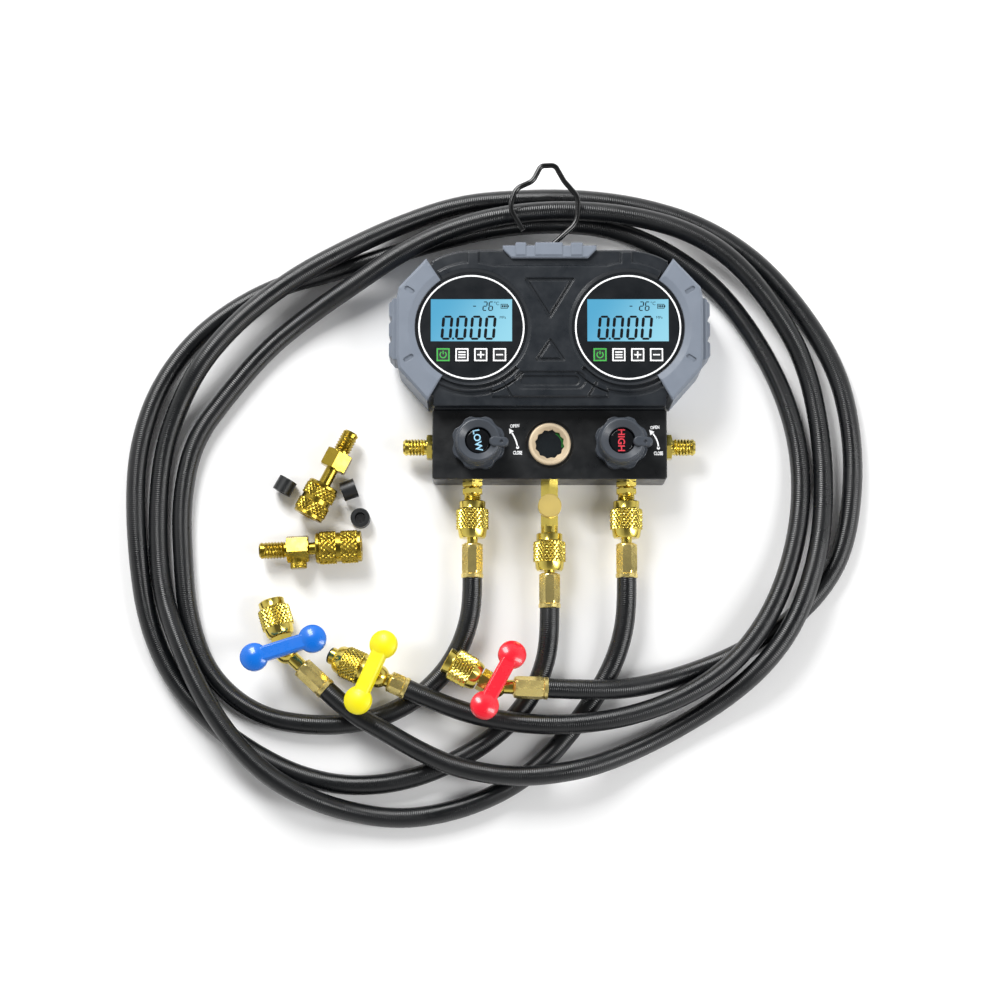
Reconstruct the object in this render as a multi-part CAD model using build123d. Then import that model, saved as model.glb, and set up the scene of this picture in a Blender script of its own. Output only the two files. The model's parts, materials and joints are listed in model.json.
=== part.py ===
"""Digital two-valve refrigerant manifold gauge with three charging hoses and two couplers.

The set lies on its back on a table. Millimetres, +X to the right of the gauge, +Y towards its
hook, +Z out of its face. The origin is the centre of the manifold block's back face.
"""
from build123d import *
import os
from math import atan2, cos, degrees, pi, radians, sin, sqrt

os.makedirs("parts", exist_ok=True)

# ---- clearances -------------------------------------------------------------------------
RUNNING = 0.1        # radial gap of a turning or sliding fit
SEATED = 0.05        # radial gap of a pressed or screwed fit
KEY_GAP = 0.12       # gap round a rubber key

# ---- manifold block ---------------------------------------------------------------------
block_width = 150.0
block_height = 45.0
block_depth = 30.0
block_chamfer = 1.2
port_pitch = 49.5            # centre port to each outer port
port_z = 15.0                # height of every port axis above the back
knob_inset = 29.5            # valve axis to the block's end
gallery_d = 5.0
gallery_z = 7.0
valve_seat_z = 12.0
valve_chamber_d = 10.0
socket_d = 11.0
socket_depth = 8.0
bonnet_d = 12.8
bonnet_depth = 12.0
bonnet_flange_d = 16.5
bonnet_flange_height = 0.8   # the packing gland's hexagon, clear of the knob
valve_stem_d = 8.0
knob_spindle_d = 6.0
glass_d = 18.2
glass_thickness = 3.0
glass_ring_d = 27.0
glass_ring_height = 4.2
glass_ring_recess = 1.0
glass_counterbore_d = 30.6
glass_point_r = 9.6          # twelve-point opening, two hexagons
glass_point_turn = 20.0
glass_bevel = 1.6

# ---- knobs ------------------------------------------------------------------------------
knob_gap = 1.0               # block face to the knob's underside, valve closed
knob_flange_d = 34.4
knob_flange_height = 8.0
knob_crown_d = 28.6
knob_height = 20.0
knob_recess_d = 17.0
knob_recess_depth = 8.0
knob_hollow_d = 18.5         # relief in the underside, over the gland
knob_hollow_depth = 2.6
knob_scallops = 8
scallop_r = 9.0
scallop_depth = 1.5
scallop_round = 4.0
insert_height = 3.4
pointer_reach = 19.3
pointer_width = 6.2
pointer_thickness = 5.2
pointer_angle = -5.0

# ---- gauge head -------------------------------------------------------------------------
gauge_pitch = 100.0
gauge_rise = 51.2            # gauge centre above the block's top edge
head_radius = 50.3
skirt_width = 148.0
skirt_height = 7.5
shell_parting_z = 32.0
head_front_z = 44.0
band_drop = 1.7              # outer band below the raised platform
band_round = 1.0
platform_round = 0.9
platform_radius = 42.2
wall = 2.5
back_wall = 3.0
face_plate = 4.3
face_d = 71.4
face_thickness = 2.5
face_top_z = 42.2
ledge_width = 2.5
ledge_thickness = 2.0
window_width = 52.0
window_height = 27.4
window_rise = 4.6
display_recess = 0.5
display_thickness = 3.5
board_d = 66.0
board_thickness = 1.6
key_size = 9.3
key_pitch = 12.0
key_drop = 17.9
key_proud = 0.5
key_height = 3.6
key_travel = 0.6
key_names = ("power", "menu", "plus", "minus")
notch_width = 7.6
notch_offset = 0.9
notch_length = 12.0
bridge_top = 40.0            # platform edge between the gauges, above the gauge centres
groove_depth = 1.1
groove_width = 2.0
platform_groove = (238.0, 318.0)  # left arc grooves, degrees about the gauge centre

# ---- bumpers ----------------------------------------------------------------------------
bumper_front_z = 45.5
bumper_shell_radius = 48.4
bumper_shell_flat = 44.8
bumper_inner_r = 36.2
bumper_bevel = 4.2
bumper_bevel_drop = 1.8
bumper_back_lap = 6.0
bumper_start, bumper_end = 121.0, 239.5
bumper_outline = [(-29.0, 44.3), (-46.5, 25.7), (-47.8, 18.5), (-47.8, -18.5), (-46.5, -27.1), (-27.5, -48.6)]
grip_depth = 4.0
grip_length = 40.0
grip_ribs = 3
rib_pitch = 13.0
rib_length = 10.0
rib_rise = 1.7
slot_length = 7.0
slot_width = 3.0
slot_depth = 1.0
top_bumper_width = 60.0
top_bumper_height = 2.3
top_bumper_lap = 5.6
top_bumper_start_z = 34.6
top_ribs = ((-18.4, 7.0), (-0.4, 17.7), (17.4, 7.6))
top_rib_rise = 1.9
top_rib_proud = 0.7           # ribs above the front flange

# ---- hook -------------------------------------------------------------------------------
wire_d = 3.4
hook_ball_d = 8.0
hook_x = -8.2
hook_inset = 3.8             # ball centre below the head's top edge
hook_lean = 42.6             # stem's heading at rest
hook_swing = 15.0
hook_points = [(18.0, 144.3), (18.7, 161.2), (9.7, 171.8), (3.9, 182.2), (-5.2, 181.9), (-10.4, 171.8),
               (-21.4, 166.9), (-25.6, 154.0), (-16.9, 139.3)]
hook_radii = [13.0, 9.0, 12.0, 4.0, 4.0, 9.0, 9.0, 12.0]

# ---- battery compartment ----------------------------------------------------------------
cell_d = 14.4
cell_length = 50.5
cell_count = 4
battery_wall = 2.0
cover_thickness = 2.0
cover_slide = 6.0

# ---- screws -----------------------------------------------------------------------------
screw_d = 2.8
screw_head_d = 5.4
screw_head_height = 2.0
screw_length = 16.0
screw_seat_z = 22.0
screw_boss_d = 8.0
screw_reach, screw_rise = 33.5, 25.5          # outer case screws, from a gauge centre
bridge_screw_x, bridge_screw_rise = 13.0, 11.5
block_screw_x = 20.0
block_screw_d = 4.0
block_screw_length = 18.0
block_screw_head_d = 7.0
block_screw_head = 3.0

# ---- hose fittings ----------------------------------------------------------------------
flare_d = 11.1               # 7/16 inch thread of a quarter inch flare fitting
flare_bore = 4.5
port_hex = 12.6
port_hex_length = 8.0
nut_gap = 4.4                # port hexagon to the nut
nut_d = 20.8
nut_length = 24.0
nut_collar = 2.5
nut_hex = 17.4
nut_hex_length = 7.0
nut_thread_depth = 12.0
neck_d = 7.0
flange_d = 10.6
flange_thickness = 3.0
ferrule_d = 14.4
ferrule_flats = 13.3
ferrule_length = 22.4
ferrule_collar = 4.0
hose_d = 12.7
tee_length = 29.0
tee_width = 10.9
tee_cap_y = 16.8             # branch below the block
tee_branch_d = 10.4
tee_branch_top = 27.0
tee_cap_d = 15.0
tee_cap_thickness = 7.0
centre_nut_start = 33.4
sensor_d = 12.0
sensor_length = 24.0
sensor_depth = 14.0

# ---- hose valves ------------------------------------------------------------------------
valve_offset = 35.2          # nut face to the ball's centre
valve_body_d = 15.0
valve_ball_d = 9.0
valve_hex = 13.0
valve_spindle_d = 4.0
valve_bonnet_d = 9.2
valve_bonnet_rise = 10.6
handle_gap = 0.4
handle_thickness = 6.4
handle_bar_width = 9.9
handle_lobe_d = 18.0
handle_spacing = 38.6
handle_lobe_rise = 8.0
handle_dome_r = 13.5
valve_port = 4.0

# ---- couplers and seals -----------------------------------------------------------------
coupler_axis_z = 11.0
coupler_groove = 3.0          # plain groove between the two knurled bands
seal_d = 12.4
seal_bore = 7.0
seal_length = 9.6
standing_seal = (-122.1, -44.8)
lying_seals = [(-171.1, -23.8, 60.0), (-129.6, -26.4, 20.0)]

# ---- hose routes: hand-laid points, from the manifold to the service end ---------------
low_route = [
    (-49.5, -84.5, 15), (-49.5, -99.5, 15), (-52.5, -116.2, 12.8), (-59.5, -133.3, 9),
    (-71.3, -149.5, 6.9), (-88.2, -163.6, 6.35), (-111.6, -175, 6.35), (-146.9, -179.5, 6.35),
    (-187.5, -173, 6.35), (-218.6, -147.5, 6.35), (-232.5, -111.2, 6.35), (-236.5, -72.1, 6.35),
    (-238.1, -32.9, 6.35), (-230.8, 5.6, 6.35), (-209.2, 35.5, 6.35), (-184.3, 65.5, 6.35),
    (-155.4, 88.9, 8), (-125.4, 107.8, 16.8), (-95.1, 128.4, 19.35), (-61.4, 144.7, 19.35),
    (-22.1, 154, 19.35), (17.1, 155.8, 19.35), (56.3, 151.9, 19.35), (92.4, 141.6, 19.35),
    (121.8, 122.2, 19.15), (147.1, 91.6, 14.7), (167, 57.9, 7.5), (176.6, 12.9, 6.35),
    (177.8, -33.6, 10.5), (171.5, -73.5, 19.25), (157.5, -112.3, 19.45), (137.3, -140.5, 17.8),
    (110.7, -162.9, 9), (76, -183.6, 6.35), (46.2, -197.8, 10.5), (19.1, -207.1, 19.35),
    (-19.1, -211.9, 19.35), (-57.4, -206.6, 19.35), (-83.9, -194.7, 19.35), (-105.8, -182, 19.5),
    (-126.6, -170.7, 19.6), (-142.2, -156.3, 18.2),
]
high_route = [
    (49.5, -84.5, 15), (49.5, -101.5, 15), (47.2, -120.5, 12), (41, -139.5, 8), (30.5, -158.5, 6.35),
    (14.5, -181, 6.35), (-5, -203.5, 6.35), (-31.3, -221.6, 6.35), (-63.4, -233.7, 6.35),
    (-96.8, -238.4, 6.35), (-130.6, -232.9, 9), (-158.8, -222.7, 17.5), (-183.1, -207.6, 19.35),
    (-204.9, -184.7, 19.35), (-222.4, -157.9, 19.35), (-237.3, -126.5, 16.3), (-249.7, -91.9, 9),
    (-253.4, -47.4, 6.35), (-250.7, -3.4, 6.35), (-241.4, 25.7, 9.5), (-226.3, 53.2, 18.85),
    (-205.8, 78, 19.35), (-182.5, 98.4, 19.35), (-158.2, 115.2, 19.5), (-129.6, 131.3, 16.5),
    (-97.6, 148.4, 8), (-58.3, 162.7, 6.35), (-18.6, 166.1, 6.35), (20.9, 166.3, 6.35),
    (60.4, 161.1, 6.35), (100.1, 148.7, 6.35), (136.3, 125.2, 6.35), (165.2, 91.4, 6.35),
    (187.9, 52.9, 6.35), (196.7, 12.9, 6.35), (197.2, -26.6, 6.35), (190.4, -66, 6.35),
    (174.1, -93.5, 6.35), (148.9, -116.7, 6.35), (119.5, -133.9, 6.35), (90.2, -145.3, 8),
    (67.3, -151.9, 13), (45.9, -156.1, 19.8), (22, -156.3, 22.6), (-1.3, -155.5, 23.6),
]
centre_route = [
    (0, -103.8, 15), (0, -120.5, 15), (-2.8, -139.5, 12.2), (-11.5, -160, 8), (-30, -182, 6.35),
    (-57.5, -200.5, 6.35), (-92.2, -214.2, 6.35), (-127.6, -217.5, 6.35), (-159.8, -210.9, 6.35),
    (-188.7, -196.6, 6.35), (-216.8, -176.9, 6.35), (-241.4, -150.1, 6.35), (-258.1, -114.4, 6.35),
    (-265.4, -72.1, 6.35), (-268.2, -26.5, 6.35), (-265.1, 6.4, 6.35), (-254.1, 39.7, 6.35),
    (-233.5, 69.6, 6.35), (-207.4, 91.5, 6.35), (-176, 108.2, 6.35), (-143.1, 116.7, 6.35),
    (-107.1, 127.4, 6.35), (-71.2, 138.5, 6.35), (-31.9, 147.6, 6.35), (7.7, 150.4, 6.35),
    (44.1, 146.1, 6.35), (80.3, 129.8, 6.35), (111.8, 105, 6.35), (136, 71.3, 6.35),
    (153.3, 36.2, 6.35), (162.8, -0.2, 6.35), (163.1, -40, 9.5), (154, -79.6, 14.5),
    (138.3, -113.7, 19.35), (115.6, -141.4, 19.35), (86.3, -160.4, 19.35), (54.2, -172.3, 19.35),
    (22.3, -177.9, 19.35), (-9.6, -178.5, 19.5), (-38.2, -174.6, 19.8), (-65.5, -167, 20.2),
    (-90.9, -155.8, 20.8),
]

# ---- derived places ---------------------------------------------------------------------
block_top = block_height / 2
block_bottom = -block_height / 2
knob_pitch = block_width - 2 * knob_inset
gauge_y = block_top + gauge_rise
head_top = gauge_y + head_radius
band_z = head_front_z - band_drop
face_bottom_z = face_top_z - face_thickness
plate_bottom_z = head_front_z - face_plate
display_top_z = face_top_z - display_recess
board_top_z = display_top_z - display_thickness
hook_y = head_top - hook_inset
hook_z = shell_parting_z
knob_bottom_z = block_depth + knob_gap
battery_width = cell_count * (cell_d + 0.4) + 1.0
battery_length = cell_length + 1.0
battery_depth = cell_d + 1.0
low, centre, high = -1, 0, 1

FROM_BASE = (Align.CENTER, Align.CENTER, Align.MIN)


# ---- small helpers ----------------------------------------------------------------------
def rod(diameter, start, end):
    """A round bar along Z."""
    return Pos(0, 0, start) * Cylinder(diameter / 2, end - start, align=FROM_BASE)


def tube(diameter, bore, start, end):
    """A round bar along Z with a bore through it."""
    return rod(diameter, start, end) - rod(bore, start - 1, end + 1)


def hex_bar(across_flats, start, end):
    """A hexagonal bar along Z."""
    corner = across_flats / sqrt(3)
    return Pos(0, 0, start) * extrude(RegularPolygon(corner, 6), end - start)


def slab(x0, x1, y0, y1, z0, z1):
    """A box between two corners."""
    return Pos((x0 + x1) / 2, (y0 + y1) / 2, (z0 + z1) / 2) * Box(x1 - x0, y1 - y0, z1 - z0)


def raised(sketch, z0, z1):
    """A sketch drawn on XY, extruded between two heights."""
    return Pos(0, 0, z0) * extrude(sketch, z1 - z0)


def sector(radius, start, end):
    """A pie slice about the origin, between two angles in degrees."""
    middle = (start + end) / 2
    reach = radius * 1.5
    corners = [(0, 0)] + [(reach * cos(radians(a)), reach * sin(radians(a))) for a in (start, middle, end)]
    return make_face(Polyline(*corners, close=True)) & Circle(radius)


def write(name, shape):
    """One STEP file per node."""
    solids = shape.solids()
    export_step(solids[0] if len(solids) == 1 else Compound(list(solids)), f"parts/{name}.step")


def both_sides(shape):
    """A left-hand shape with its mirror image on the right."""
    return [shape, mirror(shape, Plane.YZ)]


# ---- manifold block ---------------------------------------------------------------------
def port_frame(side):
    """Frame of a bottom port: Z out of the block along -Y, X out of its face."""
    return Plane(origin=(side * port_pitch, block_bottom, port_z), x_dir=(0, 0, 1), z_dir=(0, -1, 0))


def parking_frame(side):
    """Frame of a side port: Z out of the block's end."""
    return Plane(origin=(side * block_width / 2, 0, port_z), x_dir=(0, 0, 1), z_dir=(side, 0, 0))


def sensor_frame(side):
    """Frame of a pressure sensor: Z up out of the block into the head."""
    return Plane(origin=(side * knob_pitch / 2, block_top, port_z), x_dir=(0, 0, 1), z_dir=(0, 1, 0))


def block_screw_frame(side):
    """Frame of a screw that holds the head on the block: Z up into the head."""
    return Plane(origin=(side * block_screw_x, block_top, port_z), x_dir=(0, 0, 1), z_dir=(0, 1, 0))


def make_block():
    body = slab(-block_width / 2, block_width / 2, block_bottom, block_top, 0, block_depth)
    body = chamfer(body.edges().filter_by(Axis.Z), block_chamfer)
    body = chamfer(body.faces().sort_by(Axis.Z)[-1].edges(), block_chamfer * 0.5)
    for side in (low, high):
        valve = Pos(side * knob_pitch / 2, 0, 0)
        body -= valve * rod(bonnet_d + 2 * SEATED, block_depth - bonnet_depth, block_depth + 1)
        body -= valve * rod(valve_chamber_d, valve_seat_z, block_depth)
        body -= valve * rod(gallery_d, gallery_z, valve_seat_z)
        body -= parking_frame(side) * rod(socket_d + 2 * SEATED, -socket_depth, 1)
        body -= sensor_frame(side) * rod(sensor_d + 2 * SEATED, -sensor_depth, 1)
        body -= sensor_frame(side) * rod(flare_bore, -block_top + 1, 0)
        body -= block_screw_frame(side) * rod(block_screw_d + 2 * SEATED, 2 - block_screw_length, 1)
    for side in (low, centre, high):
        body -= port_frame(side) * rod(socket_d + 2 * SEATED, -socket_depth, 1)
        body -= port_frame(side) * rod(flare_bore, -block_top + 1, 0)
    body -= Plane.YZ * rod(gallery_d, -knob_pitch / 2, knob_pitch / 2).moved(Location((0, gallery_z, 0)))
    body -= rod(glass_d - 3.0, gallery_z, block_depth)
    body -= rod(glass_d + 2 * SEATED, block_depth - glass_ring_recess - glass_thickness, block_depth)
    body -= rod(glass_counterbore_d, block_depth - glass_ring_recess, block_depth + 1)
    return body


def make_bonnets():
    shape = rod(bonnet_d, block_depth - bonnet_depth + SEATED, block_depth)
    shape += hex_bar(bonnet_flange_d * 0.86, block_depth, block_depth + bonnet_flange_height)
    shape -= rod(valve_stem_d + 2 * RUNNING, 0, block_depth + 10)
    return [Pos(side * knob_pitch / 2, 0, 0) * shape for side in (low, high)]


def make_valve_stem(side):
    tip = valve_seat_z + SEATED
    shape = Pos(0, 0, tip) * Cone(valve_stem_d / 2 - 1.2, valve_stem_d / 2, 2.0, align=FROM_BASE)
    shape += rod(valve_stem_d, tip + 2.0, knob_bottom_z + 3.0)
    shape += rod(knob_spindle_d, knob_bottom_z, knob_bottom_z + knob_height - knob_recess_depth)
    return Pos(side * knob_pitch / 2, 0, 0) * shape


def make_knob(side):
    """Scalloped flange, round crown with a dished ring, and a pointer that overhangs the rim."""
    rim = knob_flange_d / 2
    outline = Circle(rim)
    for scallop in PolarLocations(rim + scallop_r - scallop_depth, knob_scallops):
        outline -= scallop * Circle(scallop_r)
    outline = fillet(outline.vertices(), scallop_round)
    flange = raised(outline, 0, knob_flange_height)
    crown_r = knob_crown_d / 2
    profile = [(0, 3.0), (rim - 1.6, knob_flange_height - 1.0), (rim - 1.8, knob_flange_height),
               (crown_r + 0.4, knob_flange_height + 3.6), (crown_r, knob_height - 1.6),
               (crown_r - 1.0, knob_height - 0.2), (crown_r - 1.8, knob_height),
               (knob_recess_d / 2, knob_height - 2.8), (knob_recess_d / 2, knob_height - knob_recess_depth),
               (0, knob_height - knob_recess_depth)]
    crown = revolve(Plane.XZ * make_face(Polyline(*profile, close=True)), Axis.Z)
    knob = flange + crown - rod(knob_recess_d, knob_height - knob_recess_depth, knob_height + 5)
    length = pointer_reach - knob_recess_d / 2 + 1.5
    blade = Pos(pointer_reach - length / 2, 0) * SlotOverall(length, pointer_width)
    top = knob_height + 0.8
    blade = raised(blade, top - pointer_thickness, top)
    blade = chamfer(blade.faces().sort_by(Axis.Z)[-1].edges(), 0.7)
    blade -= Pos(pointer_reach - pointer_width / 2 - 1.6, 0, 0) * rod(2.2, top - 0.8, top + 1)
    knob += Rot(0, 0, pointer_angle) * blade
    knob -= rod(valve_stem_d + 2 * RUNNING, -1, 3.0 + RUNNING)
    knob -= rod(knob_hollow_d, -1, knob_hollow_depth)
    knob -= rod(knob_spindle_d + 2 * RUNNING, 0, knob_height)
    return Pos(side * knob_pitch / 2, 0, knob_bottom_z) * knob


def make_knob_insert(side):
    radius = knob_recess_d / 2 - RUNNING
    base = knob_height - knob_recess_depth + SEATED
    disc = Pos(0, 0, base) * Cylinder(radius, insert_height, align=FROM_BASE)
    disc = fillet(disc.faces().sort_by(Axis.Z)[-1].edges(), 0.8)
    return Pos(side * knob_pitch / 2, 0, knob_bottom_z) * disc


def make_glass_ring():
    """Screwed ring with a rounded rim, a bevelled mouth and a twelve-point opening for its tool."""
    start = block_depth - glass_ring_recess
    top = start + glass_ring_height
    ring = rod(glass_ring_d, start, top)
    ring = fillet(ring.faces().sort_by(Axis.Z)[-1].edges(), 1.2)
    opening = Sketch()
    for turn in (glass_point_turn, glass_point_turn + 30):
        opening += Rot(0, 0, turn) * RegularPolygon(glass_point_r, 6)
    ring -= raised(opening, start - 1, top + 1)
    mouth = Cone(glass_point_r - 1.0, glass_point_r + glass_bevel, glass_bevel + 1.0, align=FROM_BASE)
    return ring - Pos(0, 0, top - glass_bevel - 1.0 + 0.01) * mouth


def make_glass():
    top = block_depth - glass_ring_recess
    return rod(glass_d, top - glass_thickness, top)


def make_parking_ports():
    shape = rod(socket_d, -socket_depth + 0.5, 0) + hex_bar(15.3, 0, 4.0)
    shape += rod(flare_d, 4.0, 19.2)
    shape = chamfer(shape.faces().sort_by(Axis.Z)[-1].edges(), 1.6)
    shape -= rod(flare_bore, 2.0, 20.0)
    return [parking_frame(side) * shape for side in (low, high)]


def make_sensors():
    shape = rod(sensor_d, -sensor_depth + 0.2, 0) + hex_bar(sensor_d - 1.5, 0, 6.5)
    shape += rod(sensor_d - 3.0, 6.0, sensor_length - sensor_depth)
    return [sensor_frame(side) * shape for side in (low, high)]


# ---- gauge head -------------------------------------------------------------------------
def gauge_places():
    return [Pos(side * gauge_pitch / 2, gauge_y) for side in (low, high)]


def bumper_zone(inner_r, outer_r):
    """Ring sector under the left bumper, about the left gauge centre."""
    return sector(outer_r, bumper_start, bumper_end) - Circle(inner_r)


def head_outline(inset=0.0):
    """Two round gauges joined by a bridge, over a straight skirt; flattened under the bumpers."""
    half = gauge_pitch / 2
    bottom = block_top + inset
    outline = Pos(0, (head_top + block_top) / 2) * Rectangle(gauge_pitch, head_top - block_top - 2 * inset)
    outline += Pos(0, bottom + skirt_height / 2) * Rectangle(skirt_width - 2 * inset, skirt_height)
    for side in (low, high):
        core = Circle(head_radius - inset)
        ring = bumper_zone(bumper_shell_radius - inset, head_radius + 5)
        flat = Pos(-bumper_shell_flat + inset - 20, 0) * Rectangle(40, 60)
        cut = ring + flat
        core -= cut if side == low else mirror(cut, Plane.YZ)
        outline += Pos(side * half, gauge_y) * core
    return outline


def screw_places():
    """Case screws: two beside each gauge and two between them."""
    reach = gauge_pitch / 2 + screw_reach
    places = [(side * reach, gauge_y + level * screw_rise) for side in (low, high) for level in (-1, 1)]
    return places + [(side * bridge_screw_x, block_top + bridge_screw_rise) for side in (low, high)]


def hook_pocket():
    """Ball socket and the slot in which the hook's stem swings."""
    centre_at = Pos(hook_x, hook_y, hook_z)
    pocket = centre_at * Sphere(hook_ball_d / 2 + RUNNING)
    swept = sector(hook_inset + 16.0, hook_lean - hook_swing, hook_lean + hook_swing)
    slot = offset(swept, wire_d / 2 + 0.3)
    return pocket + centre_at * raised(slot, -wire_d / 2 - 0.3, wire_d / 2 + 0.3)


def make_rear_shell():
    body = raised(head_outline(), 0, shell_parting_z)
    body -= raised(head_outline(wall), back_wall, shell_parting_z + 1)
    for place in gauge_places():
        lap = bumper_zone(bumper_shell_flat - 1.5, head_radius + 5)
        lap = lap if place.position.X < 0 else mirror(lap, Plane.YZ)
        body -= raised(place * lap, -1, wall)
    keep = head_outline(wall * 0.5)
    for x, y in screw_places():
        body += raised((Pos(x, y) * Circle(screw_boss_d / 2)) & keep, wall, shell_parting_z)
        body -= Pos(x, y, 0) * rod(screw_head_d + 0.6, -1, screw_seat_z)
        body -= Pos(x, y, 0) * rod(screw_d + 2 * RUNNING, 0, shell_parting_z + 1)
    body += slab(hook_x - 9, hook_x + 16, hook_y - 7, head_top - 0.2, shell_parting_z - 7, shell_parting_z)
    body -= hook_pocket()
    outer = battery_wall
    half_w, half_l = battery_width / 2, battery_length / 2
    body += slab(-half_w - outer, half_w + outer, gauge_y - half_l - outer, gauge_y + half_l + outer,
                 0, cover_thickness + battery_depth + outer)
    body -= slab(-half_w, half_w, gauge_y - half_l, gauge_y + half_l, -1, cover_thickness + battery_depth)
    body -= slab(-half_w - 1.2, half_w + 1.2, gauge_y - half_l - 1.2 - cover_slide, gauge_y + half_l + 1.2,
                 -1, cover_thickness)
    for side in (low, high):
        body -= sensor_frame(side) * rod(sensor_d + 0.8, -1, wall + 4)
        body -= block_screw_frame(side) * rod(block_screw_d + 2 * RUNNING, -1, wall + 1)
    return body


def make_battery_cover():
    half_w, half_l = battery_width / 2 + 1.0, battery_length / 2 + 1.0
    cover = slab(-half_w, half_w, gauge_y - half_l, gauge_y + half_l, 0, cover_thickness)
    cover = fillet(cover.edges().filter_by(Axis.Z), 1.5)
    for i in range(5):
        y = gauge_y - half_l + 6 + 2.4 * i
        cover -= slab(-12, 12, y, y + 1.2, -1, 0.6)
    return cover


def make_batteries():
    cell = Rot(90, 0, 0) * (rod(cell_d, -cell_length / 2, cell_length / 2 - 1.2)
                            + rod(5.5, cell_length / 2 - 1.2, cell_length / 2))
    cells = []
    for i in range(cell_count):
        x = (i - (cell_count - 1) / 2) * (cell_d + 0.4)
        turned = cell if i % 2 else Rot(0, 0, 180) * cell
        cells.append(Pos(x, gauge_y, cover_thickness + cell_d / 2 + 0.3) * turned)
    return cells


def triangle_groove(points, width):
    """A closed groove that follows a triangle."""
    shape = make_face(Polyline(*points, close=True))
    return offset(shape, width / 2) - offset(shape, -width / 2)


def make_front_shell():
    """Raised platform inside a lower band, round wells, and sunk mouldings between the gauges."""
    seam = 0.5
    outline = head_outline() - Pos(0, block_top) * Rectangle(skirt_width + 10, 2 * seam)
    body = raised(outline, shell_parting_z, band_z)
    rim = body.faces().sort_by(Axis.Z)[-1].edges()
    crest = rim.filter_by(lambda edge: (edge @ 0.5).Y > gauge_y + bridge_top and edge.length > 8)
    body = chamfer(crest, band_round)
    body -= raised(head_outline(wall), shell_parting_z - 1, plate_bottom_z)
    half = gauge_pitch / 2
    bridge = Pos(0, gauge_y + (bridge_top - 45.2) / 2) * Rectangle(gauge_pitch - 26, bridge_top + 45.2)
    platform = bridge
    for side, place in zip((low, high), gauge_places()):
        platform += place * Circle(platform_radius)
        notch_x = side * (half - notch_offset)
        platform += Pos(notch_x, head_top - notch_length / 2 - 1.0) * Rectangle(notch_width, notch_length)
    platform &= head_outline(band_round + 0.2)
    step = raised(platform, band_z - 1.0, head_front_z)
    body += chamfer(step.faces().sort_by(Axis.Z)[-1].edges(), platform_round)
    for side, place in zip((low, high), gauge_places()):
        zone = bumper_zone(10.0, head_radius + 8)
        zone = zone if side == low else mirror(zone, Plane.YZ)
        body -= raised(place * zone, band_z, head_front_z + 1)
        well = Pos(place.position.X, gauge_y, 0)
        body += well * rod(face_d + 2 * SEATED + 3, plate_bottom_z - ledge_thickness, plate_bottom_z + 1)
        body -= well * rod(face_d + 2 * SEATED, face_bottom_z, head_front_z + 1)
        body -= well * rod(face_d - 2 * ledge_width, 0, head_front_z)
        bevel = Cone(face_d / 2 + SEATED, face_d / 2 + 2.2, 1.8, align=FROM_BASE)
        body -= Pos(place.position.X, gauge_y, head_front_z - 1.8) * bevel
        span = platform_groove if side == low else (540 - platform_groove[1], 540 - platform_groove[0])
        for inner, outer in ((37.9, 40.6), (43.4, 44.6)):
            arc = sector(outer, *span) - Circle(inner)
            body -= raised(place * arc, head_front_z - groove_depth - 0.8, head_front_z + 1)
    top = head_front_z + 1
    large = [(-15.0, gauge_y + 30.8), (14.6, gauge_y + 30.8), (0, gauge_y + 6.8)]
    small = [(-8.0, gauge_y - 21.0), (8.4, gauge_y - 21.0), (0.2, gauge_y - 8.8)]
    for points in (large, small):
        body -= raised(triangle_groove(points, groove_width), head_front_z - groove_depth, top)
    pill_y = gauge_y - 34.4
    body -= raised(Pos(0, pill_y) * SlotOverall(45.4, 11.6), head_front_z - groove_depth, top)
    body -= raised(Pos(0, pill_y) * SlotOverall(38.0, 6.4), head_front_z - 2.2, top)
    for side in (low, high):
        ridge = Line((side * 30.4, gauge_y - 34.6), (side * 23.2, gauge_y - 46.8))
        body -= raised(trace(ridge, 1.3), head_front_z - groove_depth, top)
    for x, y in screw_places():
        boss = (Pos(x, y) * Circle(3.4)) & head_outline(wall * 0.5)
        body += raised(boss, shell_parting_z, plate_bottom_z + 1)
        body -= Pos(x, y, 0) * rod(screw_d + 2 * SEATED, shell_parting_z - 1,
                                   screw_seat_z + screw_length + 0.5)
    body += slab(hook_x - 9, hook_x + 16, hook_y - 7, head_top - 0.2, shell_parting_z, plate_bottom_z + 1)
    return body - hook_pocket()


def key_places():
    return [((i - 1.5) * key_pitch, gauge_y - key_drop) for i in range(len(key_names))]


def make_gauge_faces():
    faces = []
    for place in gauge_places():
        x = place.position.X
        disc = Pos(x, gauge_y, 0) * rod(face_d, face_bottom_z, face_top_z)
        window = Pos(x, gauge_y + window_rise, face_top_z) * Box(window_width, window_height, 20)
        disc -= window
        for key_x, key_y in key_places():
            hole = key_size + 2 * KEY_GAP
            disc -= Pos(x + key_x, key_y, face_top_z) * Box(hole, hole, 20)
        faces.append(disc)
    return faces


def make_displays():
    return [Pos(place.position.X, gauge_y + window_rise, display_top_z - display_thickness / 2)
            * Box(window_width - 2 * SEATED, window_height - 2 * SEATED, display_thickness)
            for place in gauge_places()]


def make_boards():
    return [Pos(place.position.X, gauge_y, 0) * rod(board_d, board_top_z - board_thickness, board_top_z)
            for place in gauge_places()]


def make_key(side, index):
    x, y = key_places()[index]
    top = face_top_z + key_proud
    key = Pos(side * gauge_pitch / 2 + x, y, top - key_height / 2) * Box(key_size, key_size, key_height)
    key = fillet(key.edges().filter_by(Axis.Z), 0.8)
    return chamfer(key.faces().sort_by(Axis.Z)[-1].edges(), 0.3)


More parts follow.
